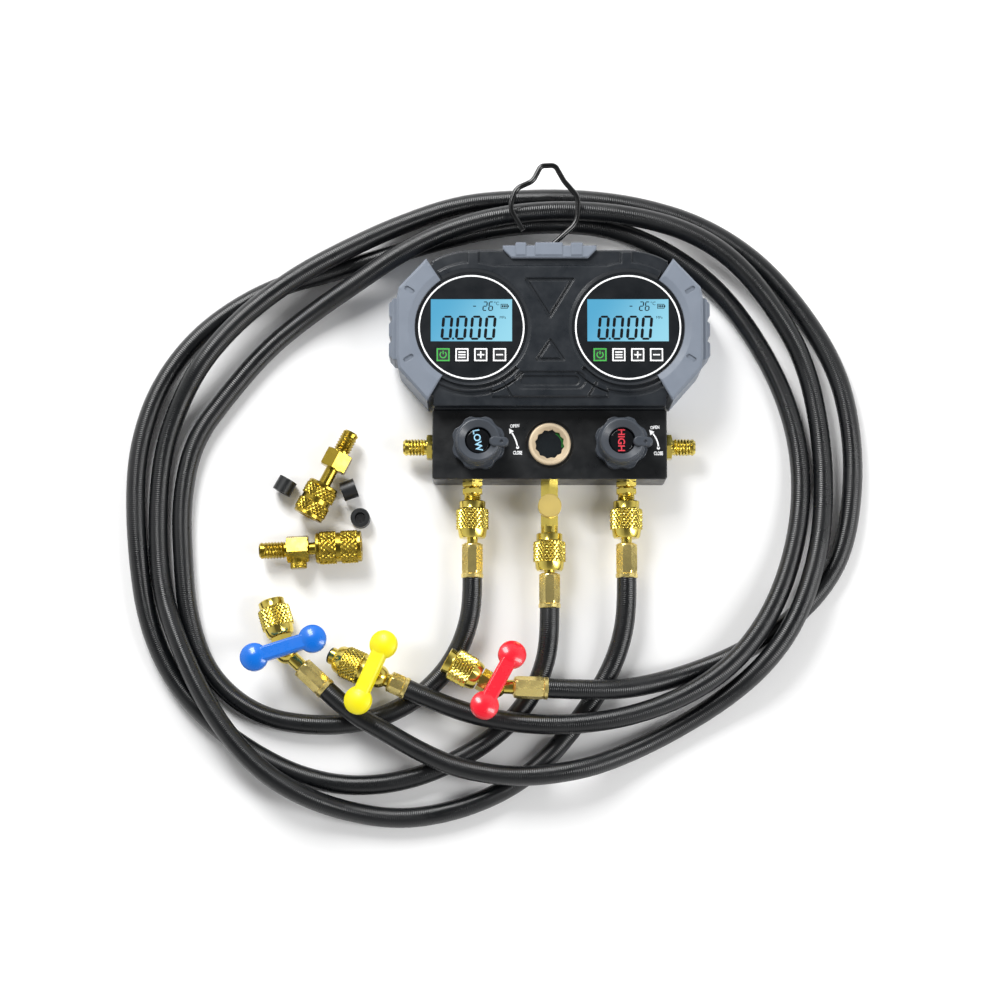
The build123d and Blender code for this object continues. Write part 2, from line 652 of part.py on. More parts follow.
def make_side_bumper():
    """Left bumper, drawn about the left gauge centre: wall, front flange with a bevel, grip ribs."""
    outer = make_face(Polyline((0, 0), *bumper_outline, close=True))
    body = raised(outer, 0, bumper_front_z)
    front = body.faces().sort_by(Axis.Z)[-1]
    body = chamfer(front.edges().filter_by(lambda e: (e @ 0.5).length > 45), 1.6)
    grip = Pos(-bumper_outline[2][0] * -1 - grip_depth / 2 + 0.5, 0, 0)
    pad = grip * slab(-grip_depth / 2, grip_depth / 2 + 1, -grip_length / 2, grip_length / 2, 5, 37)
    pad = chamfer(pad.faces().sort_by(Axis.X)[0].edges(), 1.4)
    body += pad
    rib_x = bumper_outline[2][0] - grip_depth + 0.5
    for i in range(grip_ribs):
        y = (i - (grip_ribs - 1) / 2) * rib_pitch
        rib = slab(rib_x - rib_rise, rib_x + 2, y - rib_length / 2, y + rib_length / 2, 7, 35)
        body += chamfer(rib.faces().sort_by(Axis.X)[0].edges(), 1.2)
    shell = Circle(bumper_shell_radius) & (Pos(50 - bumper_shell_flat, 0) * Rectangle(100, 120))
    body -= raised(shell, wall, band_z)
    body -= rod(2 * (bumper_shell_flat - 1.5), -1, wall + 1)
    body -= rod(2 * bumper_inner_r, band_z - 1, bumper_front_z + 1)
    bevel = Cone(bumper_inner_r, bumper_inner_r + bumper_bevel, bumper_bevel_drop + 0.01, align=FROM_BASE)
    body -= Pos(0, 0, bumper_front_z - bumper_bevel_drop) * bevel
    for x, y, angle in ((-39.5, 23.6, -32), (-40.0, -20.5, 32)):
        slot = Pos(x, y) * Rot(0, 0, angle) * SlotOverall(slot_length, slot_width)
        body -= raised(slot, bumper_front_z - slot_depth, bumper_front_z + 1)
    body &= raised(sector(80, bumper_start, bumper_end), -1, bumper_front_z + 1)
    return Pos(-gauge_pitch / 2, gauge_y, 0) * body


def make_top_bumper():
    half = top_bumper_width / 2
    lip_y = head_top - top_bumper_lap
    flange = Polyline((-half, head_top + top_bumper_height), (-half, head_top), (-half + 5.5, lip_y),
                      (half - 5.5, lip_y), (half, head_top), (half, head_top + top_bumper_height), close=True)
    body = raised(make_face(flange), band_z, bumper_front_z)
    body += slab(-half, half, head_top, head_top + top_bumper_height, top_bumper_start_z, bumper_front_z)
    body = chamfer(body.faces().sort_by(Axis.Z)[-1].edges(), 0.6)
    for x, width in top_ribs:
        rib = slab(x - width / 2, x + width / 2, lip_y + 1.2, head_top + top_bumper_height + top_rib_rise,
                   top_bumper_start_z, bumper_front_z + top_rib_proud)
        rib = chamfer(rib.faces().sort_by(Axis.Y)[-1].edges() + rib.faces().sort_by(Axis.Z)[-1].edges(), 0.6)
        body += rib - slab(-half, half, 0, head_top, 0, band_z)
    return body - raised(platform_notches(), band_z - 1, head_front_z + SEATED)


def platform_notches():
    """The two platform tabs that reach the head's top edge."""
    half = gauge_pitch / 2
    tabs = Sketch()
    for side in (low, high):
        tabs += Pos(side * (half - notch_offset), head_top - notch_length / 2 - 1.0) * Rectangle(
            notch_width + 0.2, notch_length)
    return tabs


def make_hook():
    """One bent wire with a ball at its foot."""
    foot = (hook_x, hook_y)
    path = FilletPolyline(*[Vector(x, y, hook_z) for x, y in [foot] + hook_points], radius=hook_radii)
    start = Plane(origin=path @ 0, z_dir=path % 0)
    wire = sweep(start * Circle(wire_d / 2), path)
    return wire + Pos(hook_x, hook_y, hook_z) * Sphere(hook_ball_d / 2)


def make_screws():
    screws = []
    for x, y in screw_places():
        head = rod(screw_head_d, screw_seat_z - screw_head_height, screw_seat_z)
        screws.append(Pos(x, y, 0) * (head + rod(screw_d, screw_seat_z, screw_seat_z + screw_length)))
    for side in (low, high):
        shape = rod(block_screw_d, wall + block_screw_head - block_screw_length, wall)
        shape += rod(block_screw_head_d, wall, wall + block_screw_head)
        screws.append(block_screw_frame(side) * shape)
    return screws


# ---- hose fittings ----------------------------------------------------------------------
def nut_solid(reverse=False):
    """Knurled swivel nut along Z, its open thread at 0 and its hexagon at the far end."""
    outer = rod(nut_d - 1.4, 0, nut_collar) + rod(nut_d, nut_collar, nut_length - nut_hex_length)
    grip = hex_bar(nut_hex + 1.2, nut_length - nut_hex_length, nut_length)
    cone = Pos(0, 0, nut_length - nut_hex_length) * Cone(nut_d / 2, nut_d / 2 - 1.8, nut_hex_length,
                                                        align=FROM_BASE)
    outer += grip & cone
    if reverse:
        outer = Pos(0, 0, nut_length) * Rot(180, 0, 0) * outer
        return outer - rod(flare_d + 2 * RUNNING, -1, nut_length + 1)
    outer -= rod(flare_d + 2 * RUNNING, -1, nut_thread_depth)
    outer -= rod(flange_d + 2 * RUNNING, 0, nut_thread_depth + flange_thickness)
    return outer - rod(neck_d + 2 * RUNNING, 0, nut_length + 1)


def make_hose_ports():
    end = flare_end(high)
    shape = rod(socket_d, -socket_depth + 0.5, 0) + hex_bar(port_hex, 0, port_hex_length)
    shape += rod(flare_d, port_hex_length, end)
    shape = chamfer(shape.faces().sort_by(Axis.Z)[-1].edges(), 1.2)
    shape -= rod(flare_bore, -socket_depth, end + 1)
    return [port_frame(side) * shape for side in (low, high)]


def nut_start(side):
    return centre_nut_start if side == centre else port_hex_length + nut_gap


def flare_end(side):
    return nut_start(side) + nut_thread_depth


def make_centre_tee():
    """Body with a branch that faces the user, and the flare thread of the centre hose."""
    shape = rod(socket_d, -socket_depth + 0.5, 0) + hex_bar(tee_width, 0, tee_length)
    shape += rod(flare_d, tee_length - 1.0, flare_end(centre))
    shape -= rod(flare_bore, -socket_depth, flare_end(centre) + 1)
    body = port_frame(centre) * shape
    branch = Pos(0, block_bottom - tee_cap_y, 0)
    body += branch * rod(tee_branch_d, port_z + tee_width / 2 - 2, tee_branch_top)
    return body - branch * rod(3.0, port_z, tee_branch_top + 1)


def make_tee_cap():
    top = tee_branch_top + 2.0
    cap = rod(tee_cap_d, top - tee_cap_thickness, top)
    cap = chamfer(cap.faces().sort_by(Axis.Z)[-1].edges(), 0.5)
    cap -= rod(tee_branch_d + 2 * RUNNING, 0, tee_branch_top + RUNNING)
    return Pos(0, block_bottom - tee_cap_y, 0) * cap


def ferrule_solid(length, start):
    """Crimped ferrule: round collars with hexagonal flats between them."""
    body = rod(ferrule_d, start, start + length)
    flats = hex_bar(ferrule_flats, start + ferrule_collar, start + length - ferrule_collar)
    body -= tube(ferrule_d + 4, 0.1, start + ferrule_collar, start + length - ferrule_collar)
    body += flats & rod(ferrule_d, start, start + length)
    return body - rod(neck_d + 2 * SEATED, start - 1, start + length + 1)


def ferrule_start(side):
    """The ferrule ends where its hose begins."""
    route = {low: low_route, centre: centre_route, high: high_route}[side]
    return block_bottom - route[0][1] - ferrule_length


def make_hose_stems():
    """Nipple that each manifold nut pulls onto its flare, with the tail inside the hose."""
    stems = []
    for side in (low, centre, high):
        first = flare_end(side)
        end = ferrule_start(side) + ferrule_length
        shape = rod(flange_d, first, first + flange_thickness) + rod(neck_d, first + 1, end - 1.0)
        stems.append(port_frame(side) * (shape - rod(flare_bore - 0.5, first - 1, end)))
    return stems


def make_manifold_nut(side):
    return port_frame(side) * Pos(0, 0, nut_start(side)) * nut_solid()


# ---- service ends -----------------------------------------------------------------------
class ServiceEnd:
    """One hose end with its ball valve: frames from the route's last run and the nut's heading."""

    def __init__(self, route, heading, rise, roll, ferrule, tail, reverse=False, nut_offset=0.0):
        last, before = Vector(*route[-1]), Vector(*route[-2])
        self.tail_dir = (before - last).normalized()
        self.tail = tail
        self.ferrule = ferrule
        self.reverse = reverse
        self.nut_offset = nut_offset
        self.centre = last - self.tail_dir * tail
        flat = cos(radians(rise))
        self.axis = Vector(cos(radians(heading)) * flat, sin(radians(heading)) * flat, sin(radians(rise)))
        up = Vector(0, 0, 1)
        upright = (up - self.axis * up.dot(self.axis)).normalized()
        sideways = self.axis.cross(upright)
        self.normal = upright * cos(radians(roll)) + sideways * sin(radians(roll))
        self.tip = self.centre - self.axis * valve_offset
        self.frame = Plane(origin=self.tip, x_dir=self.normal, z_dir=self.axis)
        across = self.tail_dir.cross(self.normal)
        self.tail_frame = Plane(origin=self.centre, x_dir=across.cross(self.tail_dir), z_dir=self.tail_dir)
        self.top_frame = Plane(origin=self.centre, x_dir=self.axis, z_dir=self.normal)

    def nut(self):
        return self.frame * Pos(0, 0, self.nut_offset) * nut_solid(self.reverse)

    def body(self):
        """Nipple inside the nut, hexagon, ball housing, bonnet and hose tail."""
        hex_start = valve_offset - 10.4
        if self.reverse:
            shape = rod(flare_d, 1.2, valve_offset - 4.5)
        else:
            first = nut_thread_depth
            shape = rod(flange_d, first, first + flange_thickness) + rod(neck_d, first, valve_offset)
            shape += hex_bar(valve_hex, hex_start, valve_offset - 5.0)
        shape += Pos(0, 0, valve_offset) * Sphere(valve_body_d / 2)
        bore = rod(valve_port, 0, valve_offset)
        body = self.frame * shape
        body += self.top_frame * rod(valve_bonnet_d, 0, valve_bonnet_rise)
        tail_end = self.tail - 1.0
        body += self.tail_frame * (rod(9.0, 0, self.tail - self.ferrule) + rod(neck_d, 0, tail_end))
        body -= self.frame * bore
        body -= self.tail_frame * rod(valve_port, 0, tail_end + 2)
        body -= self.top_frame * (Sphere(valve_ball_d / 2 + RUNNING)
                                  + rod(valve_spindle_d + 2 * RUNNING, 0, valve_bonnet_rise + 1))
        return body

    def ball(self):
        top = valve_bonnet_rise + handle_gap + handle_thickness - 1.2
        ball = Sphere(valve_ball_d / 2) + rod(valve_spindle_d, 0, top)
        ball -= Rot(90, 0, 0) * rod(valve_port, -valve_ball_d, valve_ball_d)
        return self.top_frame * ball

    def handle(self):
        """Dog-bone lever with two domed lobes, across the flow when shut."""
        base = valve_bonnet_rise + handle_gap
        bar = slab(-handle_bar_width / 2, handle_bar_width / 2, -handle_spacing / 2, handle_spacing / 2,
                   base, base + handle_thickness)
        bar = chamfer(bar.edges().filter_by(Axis.Y), 1.2)
        lever = bar
        for end in (-1, 1):
            lobe = rod(handle_lobe_d, base, base + handle_lobe_rise)
            lobe &= Pos(0, 0, base + handle_lobe_rise - handle_dome_r) * Sphere(handle_dome_r)
            lobe = fillet(lobe.edges().filter_by(GeomType.CIRCLE), 1.6)
            lever += Pos(0, end * handle_spacing / 2, 0) * lobe
        lever -= rod(valve_spindle_d + 2 * SEATED, base - 1, base + handle_thickness - 1.1)
        return self.top_frame * lever

    def ferrule_body(self):
        return self.tail_frame * ferrule_solid(self.ferrule, self.tail - self.ferrule)


low_end = ServiceEnd(low_route, -72.5, 8.0, 0.0, ferrule_length, 35.8)
high_end = ServiceEnd(high_route, -28.9, -2.3, -18.0, ferrule_length, 34.0)
centre_end = ServiceEnd(centre_route, -24.3, 17.0, 0.0, 12.8, 20.4, reverse=True, nut_offset=5.4)
service_ends = {"low": low_end, "high": high_end, "centre": centre_end}


def make_hose(route):
    """Plain tube of straight runs and tangent arcs, each arc as large as its runs allow."""
    points = [Vector(*p) for p in route]
    radii, length = [], 0.0
    used = [0.0] * len(points)
    for i in range(1, len(points) - 1):
        before, after = points[i] - points[i - 1], points[i + 1] - points[i]
        turn = radians(before.get_angle(after))
        reach = 0.45 * min(before.length, after.length)
        radii.append(reach / (sin(turn / 2) / cos(turn / 2)))
        used[i] = reach
        length += radii[-1] * turn
    for i in range(len(points) - 1):
        length += (points[i + 1] - points[i]).length - used[i] - used[i + 1]
    path = FilletPolyline(*points, radius=radii)
    start = Plane(origin=path @ 0, z_dir=path % 0)
    hose = sweep(start * Circle(hose_d / 2), path)
    expected = pi * hose_d ** 2 / 4 * length
    print(f"hose length {length:.0f}, least radius {min(radii):.0f}, volume / section x length "
          f"{hose.volume / expected:.5f}; radii {[round(r) for r in radii]}")
    return hose


def make_hose_ferrules():
    pieces = [port_frame(side) * ferrule_solid(ferrule_length, ferrule_start(side))
              for side in (low, centre, high)]
    return pieces + [end.ferrule_body() for end in service_ends.values()]


# ---- couplers and loose seals -----------------------------------------------------------
class Coupler:
    """Straight brass coupler that lies beside the gauge: flare tip at 0, swivel nut at the far end."""

    def __init__(self, tip, heading, thread, hexagon, hex_length, nut_at, nut_length_, side_stub, hex_turn):
        self.frame = Plane(origin=(tip[0], tip[1], coupler_axis_z), x_dir=(0, 0, 1),
                           z_dir=(cos(radians(heading)), sin(radians(heading)), 0))
        self.thread = thread
        self.hexagon = hexagon
        self.hex_length = hex_length
        self.nut_at = nut_at
        self.nut_run = nut_length_
        self.side_stub = side_stub
        self.hex_turn = hex_turn

    def body(self):
        hex_end = self.thread + self.hex_length
        flange_at = self.nut_at + self.nut_run - nut_thread_depth - flange_thickness
        shape = rod(flare_d, 0, self.thread)
        shape = chamfer(shape.faces().sort_by(Axis.Z)[0].edges(), 1.4)
        corners = hex_bar(self.hexagon, self.thread, hex_end)
        turned = rod(2 * self.hexagon / sqrt(3) - 0.3, self.thread, hex_end)
        turned = chamfer(turned.edges().filter_by(GeomType.CIRCLE), 1.0)
        shape += Rot(0, 0, self.hex_turn) * (corners & turned)
        shape += rod(neck_d + 1.0, hex_end, flange_at + flange_thickness)
        shape += rod(flange_d, flange_at, flange_at + flange_thickness)
        if self.side_stub:
            middle = self.thread + self.hex_length / 2
            shape += Pos(0, 0, middle) * Rot(90 * self.side_stub, 0, 0) * rod(10.8, 0, self.hexagon / 2 + 4.6)
        shape -= rod(flare_bore, -1, flange_at + flange_thickness + 1)
        return self.frame * shape

    def nut(self):
        end = self.nut_at + self.nut_run
        body = rod(nut_d + 0.6, self.nut_at + nut_collar, end - nut_collar)
        body += rod(nut_d - 1.0, self.nut_at, end)
        middle = (self.nut_at + end) / 2
        body -= tube(nut_d + 2, nut_d - 1.4, middle - coupler_groove / 2, middle + coupler_groove / 2)
        body -= rod(neck_d + 1.0 + 2 * RUNNING, self.nut_at - 1, end)
        body -= rod(flange_d + 2 * RUNNING, end - nut_thread_depth - flange_thickness, end)
        body -= rod(flare_d + 2 * RUNNING, end - nut_thread_depth, end + 1)
        return self.frame * body


couplers = {"elbow_side": Coupler((-127.8, 10.6), -117.2, 15.0, 16.4, 12.0, 38.4, 23.2, 0, 0.0),
            "stub_side": Coupler((-186.7, -66.7), 2.8, 17.8, 16.0, 14.2, 36.4, 29.6, -1, 14.0)}


def make_seals():
    ring = tube(seal_d, seal_bore, -seal_length / 2, seal_length / 2)
    pieces = [Pos(*standing_seal, seal_length / 2) * ring]
    for x, y, heading in lying_seals:
        pieces.append(Pos(x, y, seal_d / 2) * Rot(0, 0, heading) * Rot(0, 90, 0) * ring)
    return pieces


def make_tip_seal():
    return [centre_end.frame * tube(flare_d - 0.6, valve_port + 1.0, 0, 1.2)]


# ---- write the nodes --------------------------------------------------------------------
def group(pieces):
    return Compound([solid for piece in pieces for solid in piece.solids()])


left_bumper, right_bumper = both_sides(make_side_bumper())
write("manifold_block", make_block())
write("valve_bonnets", group(make_bonnets()))
write("sight_glass_ring", make_glass_ring())
write("sight_glass", make_glass())
write("parking_ports", group(make_parking_ports()))
write("pressure_sensors", group(make_sensors()))
write("hose_ports", group(make_hose_ports()))
write("centre_tee", make_centre_tee())
write("tee_cap", make_tee_cap())
write("hose_stems", group(make_hose_stems()))
write("hose_ferrules", group(make_hose_ferrules()))
write("rear_shell", make_rear_shell())
write("front_shell", make_front_shell())
write("left_bumper", left_bumper)
write("right_bumper", right_bumper)
write("top_bumper", make_top_bumper())
write("gauge_faces", group(make_gauge_faces()))
write("displays", group(make_displays()))
write("circuit_boards", group(make_boards()))
write("battery_cover", make_battery_cover())
write("batteries", group(make_batteries()))
write("screws", group(make_screws()))
write("hook", make_hook())
for label, side in (("low", low), ("high", high)):
    write(f"{label}_stem", make_valve_stem(side))
    write(f"{label}_knob", make_knob(side))
    write(f"{label}_knob_insert", make_knob_insert(side))
    for index, key_name in enumerate(key_names):
        write(f"{label}_key_{key_name}", make_key(side, index))
for label, side, route in (("low", low, low_route), ("centre", centre, centre_route),
                           ("high", high, high_route)):
    write(f"{label}_hose", make_hose(route))
    write(f"{label}_manifold_nut", make_manifold_nut(side))
    end = service_ends[label]
    write(f"{label}_service_nut", end.nut())
    write(f"{label}_valve_body", end.body())
    write(f"{label}_valve_ball", end.ball())
    write(f"{label}_handle", end.handle())
write("coupler_bodies", group([c.body() for c in couplers.values()]))
write("coupler_nut_a", couplers["elbow_side"].nut())
write("coupler_nut_b", couplers["stub_side"].nut())
write("seals", group(make_seals()))
write("tip_seal", group(make_tip_seal()))
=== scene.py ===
"""Digital refrigerant manifold gauge set: finishes, relief, printing and hoses over the CAD frame."""
import json
import logging
import math
from dataclasses import dataclass, field
from enum import Enum
from math import cos, pi, radians, sin
from typing import Iterable, Sequence

import bpy
from mathutils import Matrix, Vector

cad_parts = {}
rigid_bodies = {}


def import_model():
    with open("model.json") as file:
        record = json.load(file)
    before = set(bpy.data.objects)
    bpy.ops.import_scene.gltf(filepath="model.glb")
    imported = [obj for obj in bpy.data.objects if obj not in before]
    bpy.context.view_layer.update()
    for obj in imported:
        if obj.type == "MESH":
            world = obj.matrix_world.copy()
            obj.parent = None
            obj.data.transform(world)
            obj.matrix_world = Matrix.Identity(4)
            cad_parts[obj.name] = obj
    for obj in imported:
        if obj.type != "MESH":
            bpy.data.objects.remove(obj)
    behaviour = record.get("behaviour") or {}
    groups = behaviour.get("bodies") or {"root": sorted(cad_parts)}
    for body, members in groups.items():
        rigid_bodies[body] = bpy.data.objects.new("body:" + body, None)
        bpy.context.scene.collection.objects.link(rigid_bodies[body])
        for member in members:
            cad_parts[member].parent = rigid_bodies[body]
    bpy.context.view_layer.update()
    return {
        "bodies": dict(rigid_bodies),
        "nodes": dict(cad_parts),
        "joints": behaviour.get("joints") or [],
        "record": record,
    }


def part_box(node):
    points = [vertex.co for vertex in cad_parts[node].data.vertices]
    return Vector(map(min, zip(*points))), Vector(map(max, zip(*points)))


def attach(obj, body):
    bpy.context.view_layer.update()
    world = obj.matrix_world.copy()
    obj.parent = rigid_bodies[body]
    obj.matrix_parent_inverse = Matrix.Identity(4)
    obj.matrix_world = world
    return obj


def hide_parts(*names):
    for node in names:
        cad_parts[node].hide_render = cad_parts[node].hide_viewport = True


LOG = logging.getLogger("manifold_gauge")
MM = 0.001
UP = Vector((0, 0, 1))
Point = tuple[float, float, float]
Place = tuple[float, float]
Tree = bpy.types.NodeTree
Socket = bpy.types.NodeSocket
Piece = bpy.types.Object


# ---- colours and node helpers -----------------------------------------------------------
def linear(code: str) -> tuple[float, float, float, float]:
    """Turn an sRGB hex colour into linear RGBA.

    Args:
        code: A colour such as "#1c2025".

    Returns:
        Linear red, green, blue and an alpha of 1.
    """
    parts = [int(code[i:i + 2], 16) / 255 for i in (1, 3, 5)]
    r, g, b = (c / 12.92 if c <= 0.04045 else ((c + 0.055) / 1.055) ** 2.4 for c in parts)
    return (r, g, b, 1.0)


def add(tree: Tree, kind: str, inputs: dict | None = None, **settings: object) -> bpy.types.Node:
    """Add a node, set its properties, then set or link its inputs.

    Args:
        tree: The shader or geometry tree.
        kind: Blender's node type name.
        inputs: Input name or index to a value or to an output socket.
        **settings: Properties of the node.

    Returns:
        The new node.
    """
    made = tree.nodes.new(kind)
    for key, value in settings.items():
        setattr(made, key, value)
    for key, value in (inputs or {}).items():
        if isinstance(value, bpy.types.NodeSocket):
            tree.links.new(value, made.inputs[key])
        else:
            made.inputs[key].default_value = value
    return made


def maths(tree: Tree, operation: str, *values: object) -> Socket:
    """One maths node's result."""
    return add(tree, "ShaderNodeMath", dict(enumerate(values)), operation=operation).outputs[0]


def new_material(name: str) -> tuple[bpy.types.Material, Tree, bpy.types.Node]:
    """Start a material: it, its tree and its shader node."""
    material = bpy.data.materials.new(name)
    material.use_nodes = True
    return material, material.node_tree, material.node_tree.nodes["Principled BSDF"]


# ---- finishes ---------------------------------------------------------------------------
class Pattern(Enum):
    """What a finish's relief looks like."""

    GRAIN = "even grain all over"
    HOSE = "cross ribs along a hose, from its UV map"


@dataclass(frozen=True)
class Finish:
    """One real material with its colour variation, roughness and relief."""

    name: str
    colour: str
    second: str
    roughness: float
    metallic: float = 0.0
    ior: float = 1.5
    patch_mm: float = 12.0
    grain_mm: float = 0.6
    relief_mm: float = 0.02
    roughness_spread: float = 0.08
    coat: float = 0.0
    coat_roughness: float = 0.08
    specular: float = 0.5
    sheen: float = 0.0
    edge_mm: float = 0.0
    pattern: Pattern = Pattern.GRAIN

    def build(self) -> bpy.types.Material:
        """Build the material, or return it if it exists.

        Returns:
            The Blender material.
        """
        known = bpy.data.materials.get(self.name)
        if known:
            return known
        material, tree, shader = new_material(self.name)
        place = add(tree, "ShaderNodeTexCoord").outputs["Object"]
        patches = add(tree, "ShaderNodeTexNoise", {"Vector": place, "Scale": 1.0 / (self.patch_mm * MM),
                                                   "Detail": 4.0, "Roughness": 0.6})
        mixed = add(tree, "ShaderNodeMix", {"Factor": patches.outputs["Fac"], 6: linear(self.colour),
                                            7: linear(self.second)}, data_type="RGBA")
        tree.links.new(mixed.outputs[2], shader.inputs["Base Color"])
        spread = add(tree, "ShaderNodeMapRange", {"Value": patches.outputs["Fac"], "From Min": 0.3, "From Max": 0.7,
                                                  "To Min": max(self.roughness - self.roughness_spread, 0.02),
                                                  "To Max": min(self.roughness + self.roughness_spread, 1.0)})
        tree.links.new(spread.outputs["Result"], shader.inputs["Roughness"])
        height = self.relief(tree, place)
        bump = add(tree, "ShaderNodeBump", {"Height": height, "Strength": 1.0, "Distance": self.relief_mm * MM})
        if self.edge_mm:
            rounded = add(tree, "ShaderNodeBevel", {"Radius": self.edge_mm * MM}, samples=6)
            tree.links.new(rounded.outputs["Normal"], bump.inputs["Normal"])
        tree.links.new(bump.outputs["Normal"], shader.inputs["Normal"])
        settings = {"Metallic": self.metallic, "Coat Weight": self.coat, "Coat Roughness": self.coat_roughness,
                    "Sheen Weight": self.sheen}
        if self.metallic < 0.5:
            settings |= {"IOR": self.ior, "Specular IOR Level": self.specular}
        for name, value in settings.items():
            shader.inputs[name].default_value = value
        return material

    def relief(self, tree: Tree, place: Socket) -> Socket:
        """Build the height pattern.

        Args:
            tree: The material's tree.
            place: Object coordinates, in metres.

        Returns:
            The socket that carries the height.
        """
        if self.pattern is Pattern.HOSE:
            uv = add(tree, "ShaderNodeTexCoord").outputs["UV"]
            ribs = add(tree, "ShaderNodeTexWave", {"Vector": uv, "Scale": 0.314 / (self.grain_mm * MM),
                                                   "Distortion": 0.6, "Detail": 1.0, "Detail Scale": 0.8},
                       bands_direction="X")
            return ribs.outputs["Fac"]
        grain = add(tree, "ShaderNodeTexNoise", {"Vector": place, "Scale": 1.0 / (self.grain_mm * MM),
                                                 "Detail": 3.0, "Roughness": 0.65})
        return grain.outputs["Fac"]


# spark-eroded ABS: a soft grey sheen with a fine even grain
ABS_GREY = Finish("abs_spark_textured", "#171b20", "#1e2329", 0.34, grain_mm=0.5, relief_mm=0.02, edge_mm=1.1)
ABS_BACK = Finish("abs_back_moulding", "#1a1e22", "#20252a", 0.55, grain_mm=0.5, relief_mm=0.03, edge_mm=0.8)
# overmoulded TPE: matt, a little dusty, no hard highlights
TPE_GREY = Finish("tpe_overmould_grey", "#6f7783", "#79818d", 0.52, grain_mm=0.4, relief_mm=0.02, sheen=0.1,
                  specular=0.4, edge_mm=0.9)
# screen-printed acrylic: glossy and flat
ACRYLIC_BLACK = Finish("acrylic_face_black", "#14171a", "#181b1f", 0.34, specular=0.22, relief_mm=0.003,
                       grain_mm=2.0)
SILICONE_KEY = Finish("silicone_key_black", "#1b1d20", "#202327", 0.5, relief_mm=0.01)
LAMINATE_GREEN = Finish("solder_masked_laminate", "#0f4a2a", "#0c3d24", 0.35)
CELL_JACKET = Finish("cell_jacket", "#24272c", "#2b2f35", 0.3, metallic=0.4)
# anodised aluminium: hard black layer with a satin sheen
ANODISED_BLACK = Finish("anodised_aluminium_black", "#090c0f", "#0d1013", 0.34, ior=1.6, grain_mm=0.3,
                        relief_mm=0.01, edge_mm=0.6)
ANODISED_ROSE = Finish("anodised_aluminium_champagne", "#dfcdb0", "#d6c2a2", 0.5, metallic=0.45, grain_mm=0.25,
                       relief_mm=0.004)
# free-machining brass: bright yellow, crisp highlights, slight tarnish in patches
BRASS = Finish("brass_machined", "#e8d46e", "#d9c25a", 0.2, metallic=1.0, patch_mm=7.0, grain_mm=0.25,
               relief_mm=0.006, roughness_spread=0.06)
BRASS_PALE = Finish("brass_crimped_pale", "#efdc92", "#e4cd7c", 0.26, metallic=0.88, patch_mm=8.0, grain_mm=0.3,
                    relief_mm=0.006)
BRASS_AGED = Finish("brass_dull_olive", "#b79f3f", "#a18a31", 0.24, metallic=1.0, patch_mm=6.0, grain_mm=0.25,
                    relief_mm=0.008)
NICKEL_FACE = Finish("brass_turned_face", "#e0c878", "#d2b968", 0.45, metallic=0.6, grain_mm=0.35, relief_mm=0.01)
NYLON_KNOB = Finish("nylon_knob_satin", "#3a3f46", "#41464e", 0.36, grain_mm=0.4, relief_mm=0.012, edge_mm=0.7)
GLOSS_INSERT = Finish("acrylic_insert_gloss", "#0c0d10", "#101216", 0.12, coat=0.2, relief_mm=0.001, grain_mm=3.0)
STEEL_DARK = Finish("steel_black_oxide", "#3a3c40", "#2f3135", 0.35, metallic=1.0)
WIRE_BLACK = Finish("steel_wire_coated", "#060708", "#0a0b0c", 0.22, grain_mm=0.6, relief_mm=0.008)
HOSE_RUBBER = Finish("hose_rubber_black", "#090b0d", "#0e1013", 0.3, patch_mm=30.0, grain_mm=1.3,
                     relief_mm=0.1, specular=0.6, pattern=Pattern.HOSE)
SEAL_RUBBER = Finish("nitrile_rubber_black", "#101213", "#15171a", 0.45, grain_mm=0.3, relief_mm=0.01)
COAT_BLUE = Finish("enamel_blue", "#066fd8", "#0568cc", 0.28, coat=0.4, grain_mm=2.5, relief_mm=0.01, edge_mm=0.8)
COAT_YELLOW = Finish("enamel_yellow", "#f7ea00", "#f2e200", 0.42, coat=0.1, grain_mm=2.5, relief_mm=0.01,
                     edge_mm=0.8)
COAT_RED = Finish("enamel_red", "#ee1f33", "#e2182c", 0.26, coat=0.4, grain_mm=2.5, relief_mm=0.01, edge_mm=0.8)
PRINT_WHITE = Finish("screen_print_white", "#ffffff", "#f6f8fa", 0.5, relief_mm=0.001)
PRINT_GREEN = Finish("screen_print_green", "#43b24a", "#3aa642", 0.45, relief_mm=0.001)
PRINT_DARK_GREEN = Finish("indicator_green", "#1c6a24", "#185e20", 0.3, relief_mm=0.001)
PRINT_RED = Finish("print_red", "#e2404f", "#d83645", 0.4, relief_mm=0.001)
PRINT_BLUE = Finish("print_light_blue", "#a9dcf6", "#9dd4f2", 0.4, relief_mm=0.001)
SEGMENT_INK = Finish("lcd_segment_dark", "#03070d", "#02050a", 0.6, relief_mm=0.001, specular=0.15)
GLASS_DARK = Finish("sight_glass_dark", "#15191c", "#1a1f23", 0.12, coat=0.5, relief_mm=0.002)
FLOOR_WHITE = Finish("floor_paper_white", "#ffffff", "#fdfdfd", 0.9, relief_mm=0.001, specular=0.1)


